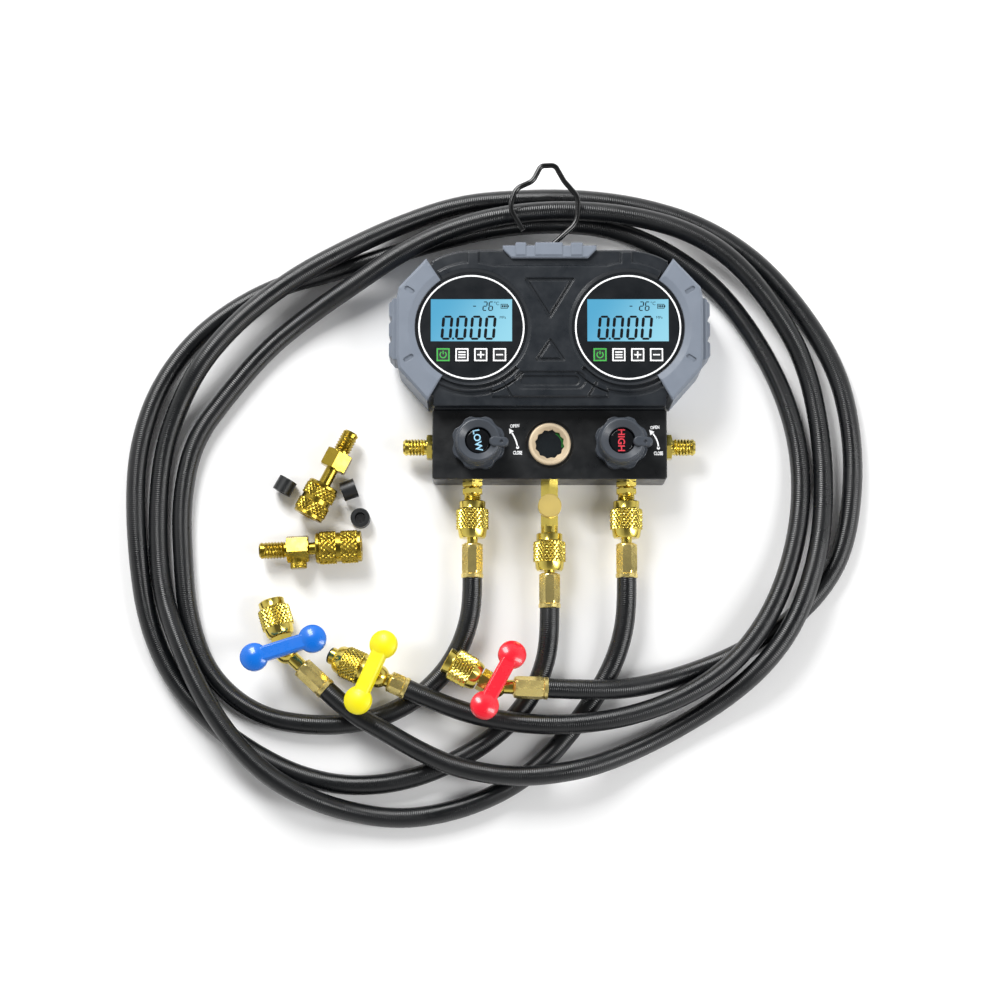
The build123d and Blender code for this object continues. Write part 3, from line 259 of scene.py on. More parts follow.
@dataclass(frozen=True)
class Backlight:
    """Liquid crystal panel lit from its right edge."""

    name: str = "lcd_backlit_blue"
    near: str = "#a9ecff"
    far: str = "#5cb6de"
    dark: str = "#16303f"
    glow: float = 0.82
    gauge_x: float = 0.05
    slant: float = 0.7
    slant_height: float = 0.0548

    def build(self) -> bpy.types.Material:
        """Build the panel's material.

        Returns:
            The Blender material.
        """
        material, tree, shader = new_material(self.name)
        split = add(tree, "ShaderNodeSeparateXYZ", {"Vector": add(tree, "ShaderNodeTexCoord").outputs["Object"]})
        x, y = split.outputs["X"], split.outputs["Y"]
        centre = maths(tree, "MULTIPLY_ADD", maths(tree, "GREATER_THAN", x, 0.0), 2 * self.gauge_x, -self.gauge_x)
        drop = maths(tree, "MULTIPLY_ADD", y, -self.slant, self.slant_height)
        both = maths(tree, "ADD", maths(tree, "SUBTRACT", x, centre), drop)
        ramp = add(tree, "ShaderNodeMapRange", {"Value": both, "From Min": -0.03, "From Max": 0.036},
                   interpolation_type="SMOOTHSTEP")
        tint = add(tree, "ShaderNodeMix", {"Factor": ramp.outputs["Result"], 6: linear(self.far),
                                           7: linear(self.near)}, data_type="RGBA")
        tree.links.new(tint.outputs[2], shader.inputs["Emission Color"])
        for name, value in (("Emission Strength", self.glow), ("Base Color", linear(self.dark)), ("Roughness", 0.2),
                            ("Coat Weight", 0.3)):
            shader.inputs[name].default_value = value
        return material


# ---- mesh helpers -----------------------------------------------------------------------
def link(name: str, data: bpy.types.ID) -> Piece:
    """Make an object of a mesh, lamp, camera or text and link it."""
    made = bpy.data.objects.new(name, data)
    bpy.context.scene.collection.objects.link(made)
    return made


def install(piece: Piece, body: str, node: str = "") -> None:
    """Let a piece ride on its body, and stand for a CAD node where one is named."""
    if node:
        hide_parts(node)
    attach(piece, body)


def new_object(name: str, verts: Sequence, faces: Sequence, finish: Finish, limit: float = 0.0) -> Piece:
    """Make a mesh object with one finish.

    Args:
        name: The piece's name.
        verts: Points in metres.
        faces: Vertex indices, outwards by the right-hand rule.
        finish: Its material.
        limit: Edges sharper than this many degrees stay crisp; 0 leaves it all flat.

    Returns:
        The new object.
    """
    mesh = bpy.data.meshes.new(name)
    mesh.from_pydata([tuple(v) for v in verts], [], [tuple(f) for f in faces])
    mesh.validate()
    mesh.materials.append(finish.build())
    if limit:
        soften(mesh, limit)
    return link(name, mesh)


def ring_faces(rings: int, sides: int, closed: bool) -> list[tuple[int, ...]]:
    """Quads between rings of points, outwards by the right-hand rule.

    Args:
        rings: How many rings there are.
        sides: Points in each ring.
        closed: Whether the last ring joins the first. Otherwise both ends are capped.

    Returns:
        The faces.
    """
    faces = []
    for i in range(rings if closed else rings - 1):
        a, b = i * sides, (i + 1) % rings * sides
        faces += [(a + j, a + (j + 1) % sides, b + (j + 1) % sides, b + j) for j in range(sides)]
    if not closed:
        faces += [tuple(range(sides - 1, -1, -1)), tuple(range((rings - 1) * sides, rings * sides))]
    return faces


def soften(mesh: bpy.types.Mesh, limit: float) -> None:
    """Shade a mesh smooth, apart from edges sharper than the limit in degrees."""
    mesh.shade_smooth()
    mesh.set_sharp_from_angle(angle=radians(limit))


def frame_matrix(origin: Point, x_dir: Vector, z_dir: Vector) -> Matrix:
    """Matrix of a local frame.

    Args:
        origin: Its origin in metres.
        x_dir: Its X direction.
        z_dir: Its Z direction.

    Returns:
        A 4x4 matrix from local to row frame.
    """
    z = Vector(z_dir).normalized()
    x = (Vector(x_dir) - z * Vector(x_dir).dot(z)).normalized()
    y = z.cross(x)
    matrix = Matrix((x, y, z)).transposed().to_4x4()
    matrix.translation = Vector(origin)
    return matrix


def apply_modifier_stack(source: Piece) -> None:
    """Replace an object's mesh by its evaluated mesh and drop its modifiers."""
    evaluated = source.evaluated_get(bpy.context.evaluated_depsgraph_get())
    result = bpy.data.meshes.new_from_object(evaluated)
    source.modifiers.clear()
    source.data = result


def dress(node: str, finish: Finish) -> None:
    """Give a CAD node its finish."""
    piece = FRAME["nodes"][node]
    built = finish.build()
    if piece.material_slots:
        for slot in piece.material_slots:
            slot.material = built
    else:
        piece.data.materials.append(built)


# ---- geometry node trees ----------------------------------------------------------------
def open_tree(name: str, sockets: dict[str, str]) -> tuple[Tree, bpy.types.Node]:
    """Start a geometry tree.

    Args:
        name: The tree's name.
        sockets: Name and kind of each input between the geometry and the material.

    Returns:
        The tree and its group input.
    """
    tree = bpy.data.node_groups.new(name, "GeometryNodeTree")
    for label, kind in {"Geometry": "Geometry", **sockets, "Material": "Material"}.items():
        tree.interface.new_socket(label, in_out="INPUT", socket_type=f"NodeSocket{kind}")
    tree.interface.new_socket("Geometry", in_out="OUTPUT", socket_type="NodeSocketGeometry")
    return tree, add(tree, "NodeGroupInput")


def close_tree(tree: Tree, entry: bpy.types.Node, geometry: Socket) -> Tree:
    """Make the tree's geometry real, paint it and lead it out."""
    realised = add(tree, "GeometryNodeRealizeInstances", {"Geometry": geometry})
    painted = add(tree, "GeometryNodeSetMaterial", {"Geometry": realised.outputs[0],
                                                    "Material": entry.outputs["Material"]})
    add(tree, "NodeGroupOutput", {"Geometry": painted.outputs[0]})
    return tree


def attribute(tree: Tree, name: str) -> Socket:
    """A number kept on each point under this name."""
    return add(tree, "GeometryNodeInputNamedAttribute", {"Name": name}, data_type="FLOAT").outputs[0]


def relief_tree() -> Tree:
    """Tree that cuts knurls and threads into a plain turned part.

    The points' "knurl" and "thread" attributes hold the depth in metres; the part's axis is Z.

    Returns:
        The geometry node tree.
    """
    tree, entry = open_tree("turned_relief", dict.fromkeys(("Knurl Teeth", "Knurl Pitch", "Thread Pitch"), "Float"))
    place = add(tree, "ShaderNodeSeparateXYZ", {"Vector": add(tree, "GeometryNodeInputPosition").outputs[0]})

    def groove(phase: Socket) -> Socket:
        """Triangle wave that is 1 at whole phases and 0 half way between."""
        part = maths(tree, "FRACT", phase)
        return maths(tree, "MULTIPLY", maths(tree, "ABSOLUTE", maths(tree, "SUBTRACT", part, 0.5)), 2.0)

    turn = maths(tree, "DIVIDE", maths(tree, "ARCTAN2", place.outputs["Y"], place.outputs["X"]), 2 * pi)
    around = maths(tree, "MULTIPLY", turn, entry.outputs["Knurl Teeth"])
    along = maths(tree, "DIVIDE", place.outputs["Z"], entry.outputs["Knurl Pitch"])
    cross = maths(tree, "MAXIMUM", groove(maths(tree, "ADD", around, along)),
                  groove(maths(tree, "SUBTRACT", around, along)))
    lines = add(tree, "ShaderNodeMapRange", {"Value": cross, "From Min": 0.05, "From Max": 1.0}).outputs["Result"]
    helix = maths(tree, "SUBTRACT", maths(tree, "DIVIDE", place.outputs["Z"], entry.outputs["Thread Pitch"]), turn)
    depth = maths(tree, "ADD", maths(tree, "MULTIPLY", attribute(tree, "knurl"), lines),
                  maths(tree, "MULTIPLY", attribute(tree, "thread"), groove(helix)))
    flat = add(tree, "ShaderNodeCombineXYZ", {"X": place.outputs["X"], "Y": place.outputs["Y"]})
    outward = add(tree, "ShaderNodeVectorMath", {0: flat.outputs[0]}, operation="NORMALIZE")
    shift = add(tree, "ShaderNodeVectorMath", {0: outward.outputs[0], "Scale": maths(tree, "MULTIPLY", depth, -1.0)},
                operation="SCALE")
    moved = add(tree, "GeometryNodeSetPosition", {"Geometry": entry.outputs["Geometry"], "Offset": shift.outputs[0]})
    return close_tree(tree, entry, moved.outputs[0])


def copies_tree() -> Tree:
    """Tree that puts one shape on each point, turned about Z by "turn" and scaled by "size"."""
    tree, entry = open_tree("placed_copies", {"Shape": "Object"})
    shape = add(tree, "GeometryNodeObjectInfo", {"Object": entry.outputs["Shape"]})
    angle = add(tree, "ShaderNodeCombineXYZ", {"Z": attribute(tree, "turn")})
    placed = add(tree, "GeometryNodeInstanceOnPoints",
                 {"Points": entry.outputs["Geometry"], "Instance": shape.outputs["Geometry"],
                  "Rotation": angle.outputs[0], "Scale": attribute(tree, "size")})
    return close_tree(tree, entry, placed.outputs[0])


def run_tree(target: Piece, tree: Tree, points: dict[str, list[float]], values: dict[str, object]) -> None:
    """Run a geometry node tree on an object and keep the plain mesh.

    Args:
        target: The object that carries the input mesh.
        tree: The tree.
        points: Attribute name to its number on each point.
        values: Input name to value, set by the socket's identifier.
    """
    for label, numbers in points.items():
        target.data.attributes.new(label, "FLOAT", "POINT").data.foreach_set("value", numbers)
    modifier = target.modifiers.new(tree.name, "NODES")
    modifier.node_group = tree
    for item in tree.interface.items_tree:
        if item.item_type == "SOCKET" and item.in_out == "INPUT" and item.name in values:
            modifier[item.identifier] = values[item.name]
    apply_modifier_stack(target)
    for label in points:
        if label in target.data.attributes:
            target.data.attributes.remove(target.data.attributes[label])


# ---- turned parts -----------------------------------------------------------------------
@dataclass
class Turned:
    """A part turned on a lathe: rings along local Z, some with flats, a knurl or a thread.

    Sizes are in millimetres. A ring is (s, r, flats, knurl depth, thread depth).
    """

    name: str
    matrix: Matrix
    finish: Finish
    teeth: int = 34
    knurl_pitch: float = 2.0
    thread_pitch: float = 1.27
    sides: int = 168
    faces: int = 6
    rings: list[tuple[float, float, float, float, float]] = field(default_factory=list)

    def ring(self, s: float, r: float, flats: float = 0.0, knurl: float = 0.0, thread: float = 0.0) -> "Turned":
        """Add one ring."""
        self.rings.append((s, r, flats, knurl, thread))
        return self

    def profile(self, *places: Place) -> "Turned":
        """Add plain rings, each an (s, r) pair."""
        for s, r in places:
            self.ring(s, r)
        return self

    def round(self, start: float, end: float, r: float, edge: float = 0.3) -> "Turned":
        """Add a plain barrel with small chamfers at both ends."""
        return self.profile((start, r - edge), (start + edge, r), (end - edge, r), (end, r - edge))

    def faceted(self, start: float, end: float, flats: float, r_limit: float = 0.0, edge: float = 0.5) -> "Turned":
        """Add flats whose corners are turned off at both ends."""
        corner = r_limit or flats / math.sqrt(3)
        self.ring(start, flats / 2 - 0.1).ring(start, flats / 2 + 0.1, flats)
        for s in (start + edge, start + edge + 0.2, end - edge - 0.2, end - edge):
            self.ring(s, corner, flats)
        return self.ring(end, flats / 2 + 0.1, flats).ring(end, flats / 2 - 0.1)

    def relief(self, start: float, end: float, r: float, knurl: float = 0.0, thread: float = 0.0,
               step: float = 0.4) -> "Turned":
        """Add a barrel with a knurl or a thread, on rings close enough to carry it."""
        count = max(2, round((end - start) / step))
        for i in range(count + 1):
            self.ring(start + (end - start) * i / count, r, 0.0, knurl if 0 < i < count else knurl * 0.9, thread)
        return self

    def build(self) -> Piece:
        """Make the closed mesh, cut its relief and set it in its place.

        Returns:
            The finished object.
        """
        verts, knurl, thread = [], [], []
        for s, r, flats, depth_k, depth_t in self.rings:
            for j in range(self.sides):
                turn = 2 * pi * j / self.sides
                radius = r
                if flats:
                    folded = (turn % (2 * pi / self.faces)) - pi / self.faces
                    radius = min(r, flats / 2 / cos(folded))
                verts.append(Vector((cos(turn) * radius, sin(turn) * radius, s)) * MM)
            knurl += [depth_k * MM] * self.sides
            thread += [depth_t * MM] * self.sides
        made = new_object(self.name, verts, ring_faces(len(self.rings), self.sides, True), self.finish)
        run_tree(made, TREES["relief"], {"knurl": knurl, "thread": thread},
                 {"Knurl Teeth": float(self.teeth), "Knurl Pitch": self.knurl_pitch * MM,
                  "Thread Pitch": self.thread_pitch * MM, "Material": self.finish.build()})
        made.data.transform(self.matrix)
        soften(made.data, 30.0)
        return made


# ---- hoses ------------------------------------------------------------------------------
LOW_ROUTE = [
    (-49.5, -84.5, 15), (-49.5, -99.5, 15), (-52.5, -116.2, 12.8), (-59.5, -133.3, 9),
    (-71.3, -149.5, 6.9), (-88.2, -163.6, 6.35), (-111.6, -175, 6.35), (-146.9, -179.5, 6.35),
    (-187.5, -173, 6.35), (-218.6, -147.5, 6.35), (-232.5, -111.2, 6.35), (-236.5, -72.1, 6.35),
    (-238.1, -32.9, 6.35), (-230.8, 5.6, 6.35), (-209.2, 35.5, 6.35), (-184.3, 65.5, 6.35),
    (-155.4, 88.9, 8), (-125.4, 107.8, 16.8), (-95.1, 128.4, 19.35), (-61.4, 144.7, 19.35),
    (-22.1, 154, 19.35), (17.1, 155.8, 19.35), (56.3, 151.9, 19.35), (92.4, 141.6, 19.35),
    (121.8, 122.2, 19.15), (147.1, 91.6, 14.7), (167, 57.9, 7.5), (176.6, 12.9, 6.35),
    (177.8, -33.6, 10.5), (171.5, -73.5, 19.25), (157.5, -112.3, 19.45), (137.3, -140.5, 17.8),
    (110.7, -162.9, 9), (76, -183.6, 6.35), (46.2, -197.8, 10.5), (19.1, -207.1, 19.35),
    (-19.1, -211.9, 19.35), (-57.4, -206.6, 19.35), (-83.9, -194.7, 19.35), (-105.8, -182, 19.5),
    (-126.6, -170.7, 19.6), (-142.2, -156.3, 18.2),
]
HIGH_ROUTE = [
    (49.5, -84.5, 15), (49.5, -101.5, 15), (47.2, -120.5, 12), (41, -139.5, 8), (30.5, -158.5, 6.35),
    (14.5, -181, 6.35), (-5, -203.5, 6.35), (-31.3, -221.6, 6.35), (-63.4, -233.7, 6.35),
    (-96.8, -238.4, 6.35), (-130.6, -232.9, 9), (-158.8, -222.7, 17.5), (-183.1, -207.6, 19.35),
    (-204.9, -184.7, 19.35), (-222.4, -157.9, 19.35), (-237.3, -126.5, 16.3), (-249.7, -91.9, 9),
    (-253.4, -47.4, 6.35), (-250.7, -3.4, 6.35), (-241.4, 25.7, 9.5), (-226.3, 53.2, 18.85),
    (-205.8, 78, 19.35), (-182.5, 98.4, 19.35), (-158.2, 115.2, 19.5), (-129.6, 131.3, 16.5),
    (-97.6, 148.4, 8), (-58.3, 162.7, 6.35), (-18.6, 166.1, 6.35), (20.9, 166.3, 6.35),
    (60.4, 161.1, 6.35), (100.1, 148.7, 6.35), (136.3, 125.2, 6.35), (165.2, 91.4, 6.35),
    (187.9, 52.9, 6.35), (196.7, 12.9, 6.35), (197.2, -26.6, 6.35), (190.4, -66, 6.35),
    (174.1, -93.5, 6.35), (148.9, -116.7, 6.35), (119.5, -133.9, 6.35), (90.2, -145.3, 8),
    (67.3, -151.9, 13), (45.9, -156.1, 19.8), (22, -156.3, 22.6), (-1.3, -155.5, 23.6),
]
CENTRE_ROUTE = [
    (0, -103.8, 15), (0, -120.5, 15), (-2.8, -139.5, 12.2), (-11.5, -160, 8), (-30, -182, 6.35),
    (-57.5, -200.5, 6.35), (-92.2, -214.2, 6.35), (-127.6, -217.5, 6.35), (-159.8, -210.9, 6.35),
    (-188.7, -196.6, 6.35), (-216.8, -176.9, 6.35), (-241.4, -150.1, 6.35), (-258.1, -114.4, 6.35),
    (-265.4, -72.1, 6.35), (-268.2, -26.5, 6.35), (-265.1, 6.4, 6.35), (-254.1, 39.7, 6.35),
    (-233.5, 69.6, 6.35), (-207.4, 91.5, 6.35), (-176, 108.2, 6.35), (-143.1, 116.7, 6.35),
    (-107.1, 127.4, 6.35), (-71.2, 138.5, 6.35), (-31.9, 147.6, 6.35), (7.7, 150.4, 6.35),
    (44.1, 146.1, 6.35), (80.3, 129.8, 6.35), (111.8, 105, 6.35), (136, 71.3, 6.35),
    (153.3, 36.2, 6.35), (162.8, -0.2, 6.35), (163.1, -40, 9.5), (154, -79.6, 14.5),
    (138.3, -113.7, 19.35), (115.6, -141.4, 19.35), (86.3, -160.4, 19.35), (54.2, -172.3, 19.35),
    (22.3, -177.9, 19.35), (-9.6, -178.5, 19.5), (-38.2, -174.6, 19.8), (-65.5, -167, 20.2),
    (-90.9, -155.8, 20.8),
]


@dataclass
class Hose:
    """A half inch charging hose, laid free along its route."""

    side: str
    route: Sequence[Point]
    length: float
    diameter: float = 12.7
    sides: int = 28

    def centreline(self) -> list[Vector]:
        """Sample the smooth line of the hose.

        Returns:
            Points along the NURBS spline, in metres.
        """
        curve = bpy.data.curves.new(f"{self.side}_line", "CURVE")
        curve.dimensions = "3D"
        spline = curve.splines.new("NURBS")
        spline.points.add(len(self.route) - 1)
        for point, place in zip(spline.points, self.route):
            point.co = (place[0] * MM, place[1] * MM, place[2] * MM, 1.0)
        spline.order_u = 3
        spline.use_endpoint_u = True
        curve.resolution_u = 12
        holder = bpy.data.objects.new(f"{self.side}_line", curve)
        line = bpy.data.meshes.new_from_object(holder)
        points = [v.co.copy() for v in line.vertices]
        bpy.data.objects.remove(holder)
        bpy.data.meshes.remove(line)
        kept = [points[0]]
        for point in points[1:]:
            if (point - kept[-1]).length > 0.2 * MM:
                kept.append(point)
        return kept

    def build(self) -> Piece:
        """Make the hose's tube with a UV map in metres along it.

        Returns:
            The hose's mesh object.
        """
        line = self.centreline()
        verts, distance, radius = [], [0.0], self.diameter / 2 * MM
        first = line[1] - line[0]
        side = Vector((1, 0, 0)) if abs(first.x) < 0.5 * first.length else Vector((0, 1, 0))
        for i, point in enumerate(line):
            before, after = line[max(i - 1, 0)], line[min(i + 1, len(line) - 1)]
            forward = (after - before).normalized()
            side = (side - forward * side.dot(forward)).normalized()
            other = forward.cross(side)
            for j in range(self.sides):
                turn = 2 * pi * j / self.sides
                verts.append(point + (side * cos(turn) + other * sin(turn)) * radius)
            if i:
                distance.append(distance[-1] + (point - line[i - 1]).length)
        faces = ring_faces(len(line), self.sides, False)
        hose = new_object(f"{self.side}_hose_cover", verts, faces, HOSE_RUBBER, limit=60.0)
        layer = hose.data.uv_layers.new(name="along")
        for polygon in hose.data.polygons:
            for loop in polygon.loop_indices:
                ring, step = divmod(hose.data.loops[loop].vertex_index, self.sides)
                layer.data[loop].uv = (distance[ring], step / self.sides * 0.04)
        install(hose, "gauge", f"{self.side}_hose")
        LOG.info("%s hose: %d mm along its smooth line", self.side, round(distance[-1] * 1000))
        return hose


# ---- brass fittings ---------------------------------------------------------------------
@dataclass
class Fittings:
    """The turned brass of the manifold, the hoses and the couplers. Sizes in millimetres."""

    port_pitch: float = 49.5
    block_half: float = 22.5
    port_z: float = 15.0
    flare_r: float = 5.55
    flare_bore_r: float = 2.25
    thread_depth: float = 0.45
    nut_r: float = 10.4
    nut_length: float = 24.0
    nut_thread: float = 12.0
    flange: float = 3.0
    nut_flats: float = 17.4
    nut_hexagon: float = 5.6
    collar_step: float = 2.0
    ferrule_r: float = 7.2
    ferrule_flats: float = 13.3
    hose_bore_r: float = 3.55
    socket: float = 7.5
    block_end: float = 75.0
    parking_length: float = 19.2

    def port(self, side: int) -> Matrix:
        """Frame of a bottom port: Z out of the block along -Y, X out of its face."""
        return frame_matrix((side * self.port_pitch * MM, -self.block_half * MM, self.port_z * MM), UP,
                            Vector((0, -1, 0)))

    def nut(self, name: str, matrix: Matrix, flip: bool = False) -> Piece:
        """Knurled swivel nut.

        Args:
            name: The piece's name.
            matrix: Frame with the open face at 0 and Z towards the hose.
            flip: Whether the hexagon is at the open face.

        Returns:
            The nut.
        """
        length, bore, r = self.nut_length, self.flare_r + 0.1, self.nut_r
        if flip:
            matrix = matrix @ Matrix.Translation((0, 0, length * MM)) @ Matrix.Rotation(pi, 4, "X")
        part = Turned(name, matrix, BRASS, teeth=26, knurl_pitch=3.6, sides=312)
        knurl_end, collar = length - self.nut_hexagon, r - self.collar_step
        part.profile((0.0, bore + 0.5), (0.0, collar - 0.6), (0.5, collar), (4.4, collar), (4.6, collar + 0.1),
                     (5.4, r - 0.5))
        part.relief(5.8, knurl_end - 0.3, r + 0.15, knurl=0.95, step=0.24)
        part.ring(knurl_end, r - 0.9)
        for s, radius in ((knurl_end, r - 0.6), (length - 1.5, r - 1.5), (length, r - 2.4)):
            part.ring(s, radius, self.nut_flats + 1.2)
        if flip:
            part.profile((length, bore), (0.4, bore))
        else:
            neck, pocket, foot = 3.6, 5.4, self.nut_thread + self.flange
            part.profile((length, neck), (foot, neck), (foot, pocket), (self.nut_thread, pocket),
                         (self.nut_thread, bore), (0.5, bore))
        return part.build()

    def ferrule(self, name: str, matrix: Matrix, start: float, length: float) -> Piece:
        """Crimped ferrule: eight flats between a tapered shoulder and a round collar."""
        end, r = start + length, self.ferrule_r
        part = Turned(name, matrix @ Matrix.Rotation(pi / 8, 4, "Z"), BRASS_PALE, sides=96, faces=8)
        part.profile((start, self.hose_bore_r), (start, r - 2.2), (start + 0.9, r - 0.5), (start + 1.4, r - 0.3))
        part.faceted(start + 1.6, end - 3.0, self.ferrule_flats, r, 1.4)
        part.round(end - 2.8, end, r - 0.1, 0.4).ring(end, self.hose_bore_r)
        return part.build()

    def stem(self, name: str, matrix: Matrix, first: float, end: float) -> Piece:
        """Nipple with its flange, from the nut into the ferrule."""
        foot, bore, neck, rim = first + self.flange, 2.0, 3.5, 5.3
        part = Turned(name, matrix, BRASS, sides=48)
        part.profile((first, bore), (first, rim - 0.3), (first + 0.4, rim), (foot, rim), (foot, neck),
                     (end - 1.0, neck), (end - 1.0, bore))
        return part.build()

    def hose_port(self, name: str, matrix: Matrix, end: float) -> Piece:
        """Threaded hose port with its hexagon."""
        part = Turned(name, matrix, BRASS, sides=96)
        part.profile((-self.socket, self.flare_bore_r), (-self.socket, 5.5), (0.0, 5.5))
        part.faceted(0.0, 3.2, 12.6).round(3.3, 4.1, 5.4).faceted(4.2, 8.0, 12.6)
        part.relief(8.2, end - 0.8, self.flare_r, thread=self.thread_depth, step=0.21)
        return part.profile((end, self.flare_r - 1.2), (end, self.flare_bore_r)).build()

    def parking_port(self, name: str, side: int) -> Piece:
        """Threaded stub on the block's end, with a hexagon flange."""
        matrix = frame_matrix((side * self.block_end * MM, 0, self.port_z * MM), UP, Vector((side, 0, 0)))
        waist, nose, tip = 4.9, self.flare_r - 0.3, self.parking_length
        part = Turned(name, matrix, BRASS, sides=96, thread_pitch=2.0)
        part.profile((-self.socket, 2.0), (-self.socket, 5.5), (0.0, 5.5)).faceted(0.0, 4.0, 15.3)
        part.profile((4.0, waist), (5.4, waist)).relief(5.5, 15.2, self.flare_r, thread=0.8, step=0.21)
        part.profile((15.5, waist), (16.4, waist), (16.8, nose), (17.8, nose), (tip, self.flare_r - 1.6),
                     (tip, self.flare_bore_r), (2.0, self.flare_bore_r), (2.0, 0.4), (-7.4, 0.4))
        return part.build()


@dataclass
class ServiceEnd:
    """A hose's free end: the nut's frame and the hose's last direction, as in the frame model."""

    side: str
    route: Sequence[Point]
    heading: float
    rise: float
    roll: float
    tail: float
    ferrule: float
    nut_offset: float = 0.0
    flip: bool = False
    reach: float = 35.2

    def place(self) -> tuple[Matrix, Matrix]:
        """Work out where the end lies.

        Returns:
            The nut's frame, its Z towards the hose, and the hose tail's frame.
        """
        last, before = Vector(self.route[-1]), Vector(self.route[-2])
        tail_dir = (before - last).normalized()
        centre = last - tail_dir * self.tail
        heading, rise, roll = radians(self.heading), radians(self.rise), radians(self.roll)
        axis = Vector((cos(heading) * cos(rise), sin(heading) * cos(rise), sin(rise)))
        upright = (UP - axis * UP.dot(axis)).normalized()
        normal = upright * cos(roll) + axis.cross(upright) * sin(roll)
        tip = centre - axis * self.reach
        return frame_matrix(tuple(tip * MM), normal, axis), frame_matrix(tuple(centre * MM), normal, tail_dir)

    def build(self, fittings: Fittings) -> None:
        """Build the nut and the ferrule.

        Args:
            fittings: The shared brass sizes.
        """
        head, tail = self.place()
        shifted = head @ Matrix.Translation((0, 0, self.nut_offset * MM))
        nut = fittings.nut(f"{self.side}_service_nut_brass", shifted, self.flip)
        install(nut, f"{self.side}_service_nut_turning", f"{self.side}_service_nut")
        ferrule = fittings.ferrule(f"{self.side}_service_ferrule", tail, self.tail - self.ferrule, self.ferrule)
        install(ferrule, "gauge")


@dataclass
class CouplerBrass:
    """A loose brass coupler."""

    tag: str
    tip: Point
    heading: float
    thread: float
    hexagon: float
    hex_length: float
    nut_at: float
    nut_run: float
    hex_turn: float
    has_stub: bool
    flare_r: float = 5.55
    nut_r: float = 10.7
    nut_pocket: float = 15.0

    def body(self, matrix: Matrix, flange: float) -> Piece:
        """Threaded body with its hexagon and the flange that holds the nut."""
        waist, neck, rim, bore, hex_end = 4.9, 4.0, 5.3, 2.25, self.thread + self.hex_length
        part = Turned(f"coupler_{self.tag}_brass", matrix @ Matrix.Rotation(radians(self.hex_turn), 4, "Z"),
                      BRASS_AGED, sides=96, thread_pitch=2.0)
        part.profile((0.0, bore), (0.0, 4.0), (1.2, 5.2), (2.4, 5.2), (2.6, waist), (3.4, waist))
        part.relief(3.5, self.thread - 1.6, self.flare_r, thread=0.8, step=0.21)
        part.profile((self.thread - 1.4, 4.8), (self.thread, 4.8)).faceted(self.thread, hex_end, self.hexagon)
        part.profile((hex_end, neck), (flange, neck), (flange, rim), (flange + 3.0, rim), (flange + 3.0, bore))
        return part.build()

    def nut(self, matrix: Matrix, flange: float, end: float) -> Piece:
        """Swivel nut: two knurled bands with a groove between them."""
        r, start, mid, foot = self.nut_r, self.nut_at, (self.nut_at + end) / 2, flange + 3.0
        part = Turned(f"coupler_{self.tag}_nut_brass", matrix, BRASS_AGED, teeth=24, knurl_pitch=3.4, sides=240)
        part.profile((start, 4.1), (start, r - 1.4), (start + 0.8, r - 0.7), (start + 2.2, r - 0.7),
                     (start + 2.5, r - 1.0))
        part.relief(start + 2.7, mid - 1.7, r, knurl=0.7, step=0.3)
        part.profile((mid - 1.5, r - 1.1), (mid + 1.5, r - 1.1))
        part.relief(mid + 1.7, end - 2.7, r, knurl=0.7, step=0.3)
        part.profile((end - 2.5, r - 0.9), (end - 0.6, r - 0.7), (end, r - 1.3), (end, 6.1), (end - 0.5, 5.65),
                     (foot, 5.65), (foot, 5.4), (flange, 5.4), (flange, 4.1))
        return part.build()

    def stub(self, matrix: Matrix) -> Piece:
        """Knurled boss on the side of the hexagon."""
        middle, half = (self.thread + self.hex_length / 2) * MM, self.hexagon / 2
        side = matrix @ Matrix.Translation((0, 0, middle)) @ Matrix.Rotation(-pi / 2, 4, "X")
        part = Turned(f"coupler_{self.tag}_stub", side, BRASS_AGED, teeth=24, knurl_pitch=1.4, sides=144)
        part.profile((half - 1.5, 0.3), (half - 1.5, 5.0)).relief(half + 0.6, half + 4.2, 5.4, knurl=0.4, step=0.3)
        return part.profile((half + 4.6, 5.0), (half + 4.6, 0.3)).build()

    def build(self) -> None:
        """Build the body, the swivel nut and, where it has one, the boss."""
        turn = radians(self.heading)
        matrix = frame_matrix(tuple(c * MM for c in self.tip), UP, Vector((cos(turn), sin(turn), 0)))
        end = self.nut_at + self.nut_run
        flange = end - self.nut_pocket
        install(self.body(matrix, flange), "gauge", "coupler_bodies")
        install(self.nut(matrix, flange, end), f"coupler_nut_{self.tag}_turning", f"coupler_nut_{self.tag}")
        if self.has_stub:
            install(self.stub(matrix), "gauge")


# ---- flat print -------------------------------------------------------------------------
PRINT_HEIGHT = 0.03
GAUGE_Y = 73.7
DISPLAY_Z = 41.7


def box(x0: float, x1: float, y0: float, y1: float) -> list[Place]:
    """Rectangle as an outline, anticlockwise."""
    return [(x0, y0), (x1, y0), (x1, y1), (x0, y1)]


def disc(radius: float, count: int, centre: Sequence[float]) -> list[Place]:
    """Round outline, anticlockwise."""
    turns = (2 * pi * i / count for i in range(count))
    return [(centre[0] + radius * cos(a), centre[1] + radius * sin(a)) for a in turns]


def arc_strips(radius: float, width: float, start: float, end: float, count: int) -> list[list[Place]]:
    """Short convex strips along an arc, angles in degrees."""
    inner, outer = radius - width / 2, radius + width / 2
    turns = [radians(start + (end - start) * i / count) for i in range(count + 1)]
    return [[(inner * cos(a), inner * sin(a)), (outer * cos(a), outer * sin(a)), (outer * cos(b), outer * sin(b)),
             (inner * cos(b), inner * sin(b))] for a, b in zip(turns, turns[1:])]


